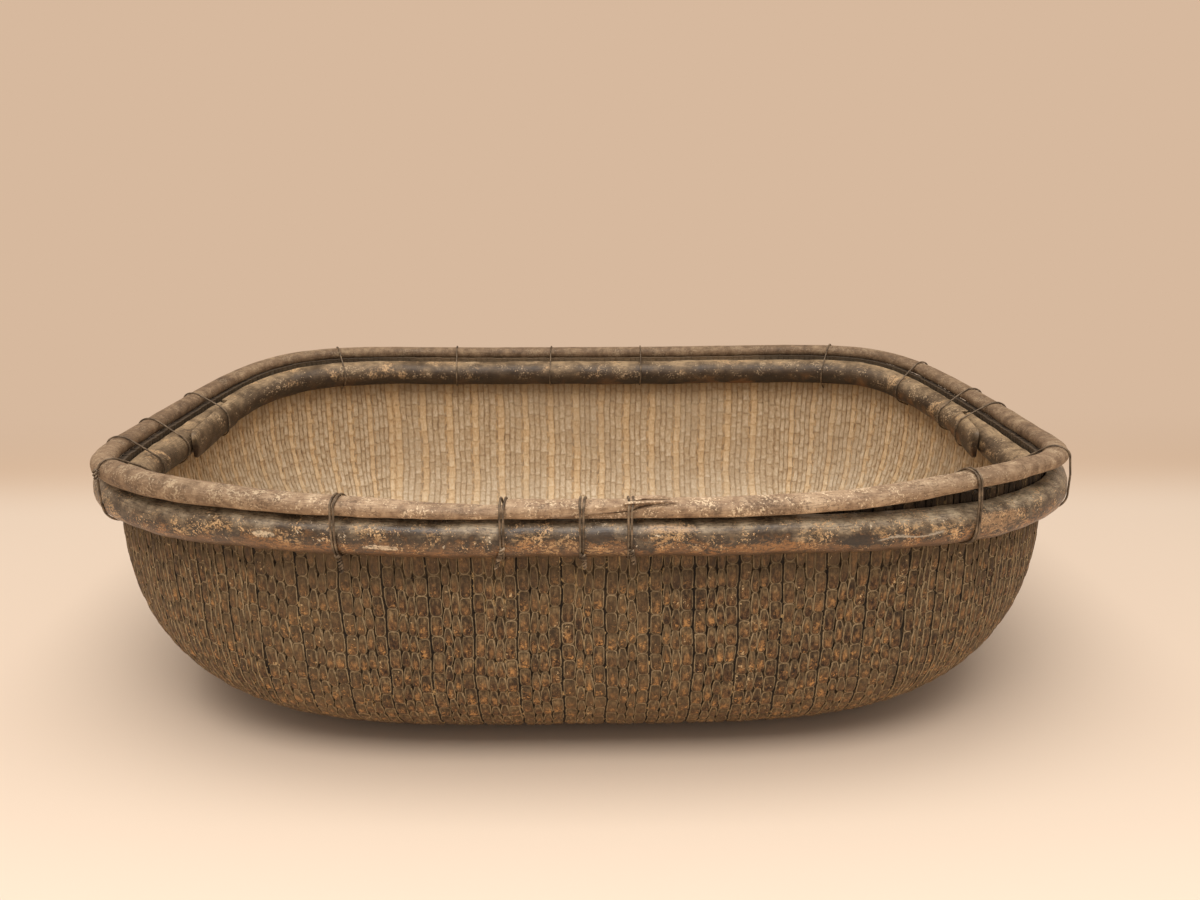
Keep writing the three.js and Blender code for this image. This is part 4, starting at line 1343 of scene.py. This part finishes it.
# Floor and light
studio = {
    "floorSize": 14,
    "floorTone": (244, 225, 204),
    "sideTone": (228, 205, 183),  # painted shade, darker beside the basket
    "sideStart": -0.50,
    "sideFull": -0.15,
    "backdropTone": (215, 185, 158),
    "backdropStart": 0.24,  # the backdrop's shaded tone, painted on the floor, begins behind the basket
    "backdropFull": 0.46,
    "unlitStart": 0.3,  # further back the floor glows in the backdrop tone where seen directly, a painted light that no lamp gives
    "unlitFull": 0.7,
    "farStart": 0.75,  # both are also so far out all round
    "farFull": 1.35,
    "skyTint": (1.0, 0.97, 0.93, 1.0),
    "skyStrength": 0.47,
    "boxSize": 2.2,
    "boxPlace": (-0.1, -0.9, 2.3),
    "boxPower": 62.0,
    "boxTint": (1.0, 0.98, 0.95),
}


def seenDirectly():
    rays = tree.nodes.new("ShaderNodeLightPath").outputs
    camera, glossy, through = (Signal(rays[f"Is {kind} Ray"]) for kind in ("Camera", "Glossy", "Transmission"))
    return calc("MAXIMUM", camera, calc("MAXIMUM", glossy, through))


def showEither(output, amount, first, second):
    either = addNode("MixShader", enumerate((amount, first, second)))
    plug(tree.nodes.new(output).inputs[0], either)


deselectAll()
bpy.ops.mesh.primitive_plane_add(size=studio["floorSize"])
floor = bpy.context.object
floor.name = "studioFloor"
material = bpy.data.materials.new("paleFloor")
material.use_nodes = True
tree = material.node_tree
tree.nodes.clear()
x, y, _ = split(objectPlace())
far = stretch(calc("SQRT", x * x + y * y), studio["farStart"], studio["farFull"])
behind = calc("MAXIMUM", stretch(y, studio["backdropStart"], studio["backdropFull"]), far)
beside = stretch(y, studio["sideStart"], studio["sideFull"])
# painted shade: the floor's tone darkens beside the basket and towards the backdrop
paper = layered(studio["floorTone"], studio, sideTone=beside, backdropTone=behind)
unlit = calc("MAXIMUM", stretch(y, studio["unlitStart"], studio["unlitFull"]), far)
lit = addNode("BsdfDiffuse", [(0, paper)])
# painted light: the far floor glows in the backdrop tone
glow = addNode("Emission", [(0, studio["backdropTone"])])
showEither("ShaderNodeOutputMaterial", seenDirectly() * unlit, lit, glow)
floor.data.materials.append(material)

world = bpy.data.worlds.new("studio")
scene.world = world
world.use_nodes = True
tree = world.node_tree
tree.nodes.clear()
sky = addNode("Background", [(0, studio["skyTint"]), (1, studio["skyStrength"])])
backdrop = addNode("Background", [(0, studio["backdropTone"])])
showEither("ShaderNodeOutputWorld", seenDirectly(), sky, backdrop)

deselectAll()
bpy.ops.object.light_add(type="AREA", location=studio["boxPlace"])
lamp = bpy.context.object
lamp.name = "overheadSoftbox"
lamp.data.size = studio["boxSize"]
lamp.data.energy = studio["boxPower"]
lamp.data.color = studio["boxTint"]

# Camera at the photograph's place
cameraView = {"place": (0.00387, -0.7743, 0.3835), "yaw": 0.0122, "pitch": 0.2919, "roll": -0.0033, "lens": 28.8}
lens = bpy.data.cameras.new("photoCamera")
lens.sensor_width = 36
lens.lens = cameraView["lens"]
lens.clip_start = 0.01
camera = bpy.data.objects.new("photoCamera", lens)
bpy.context.collection.objects.link(camera)
turned = Matrix.Rotation(-cameraView["yaw"], 4, "Z")
turned = turned @ Matrix.Rotation(math.pi / 2 - cameraView["pitch"], 4, "X")
turned = turned @ Matrix.Rotation(cameraView["roll"], 4, "Z")
camera.matrix_world = Matrix.Translation(Vector(cameraView["place"])) @ turned
scene.camera = camera
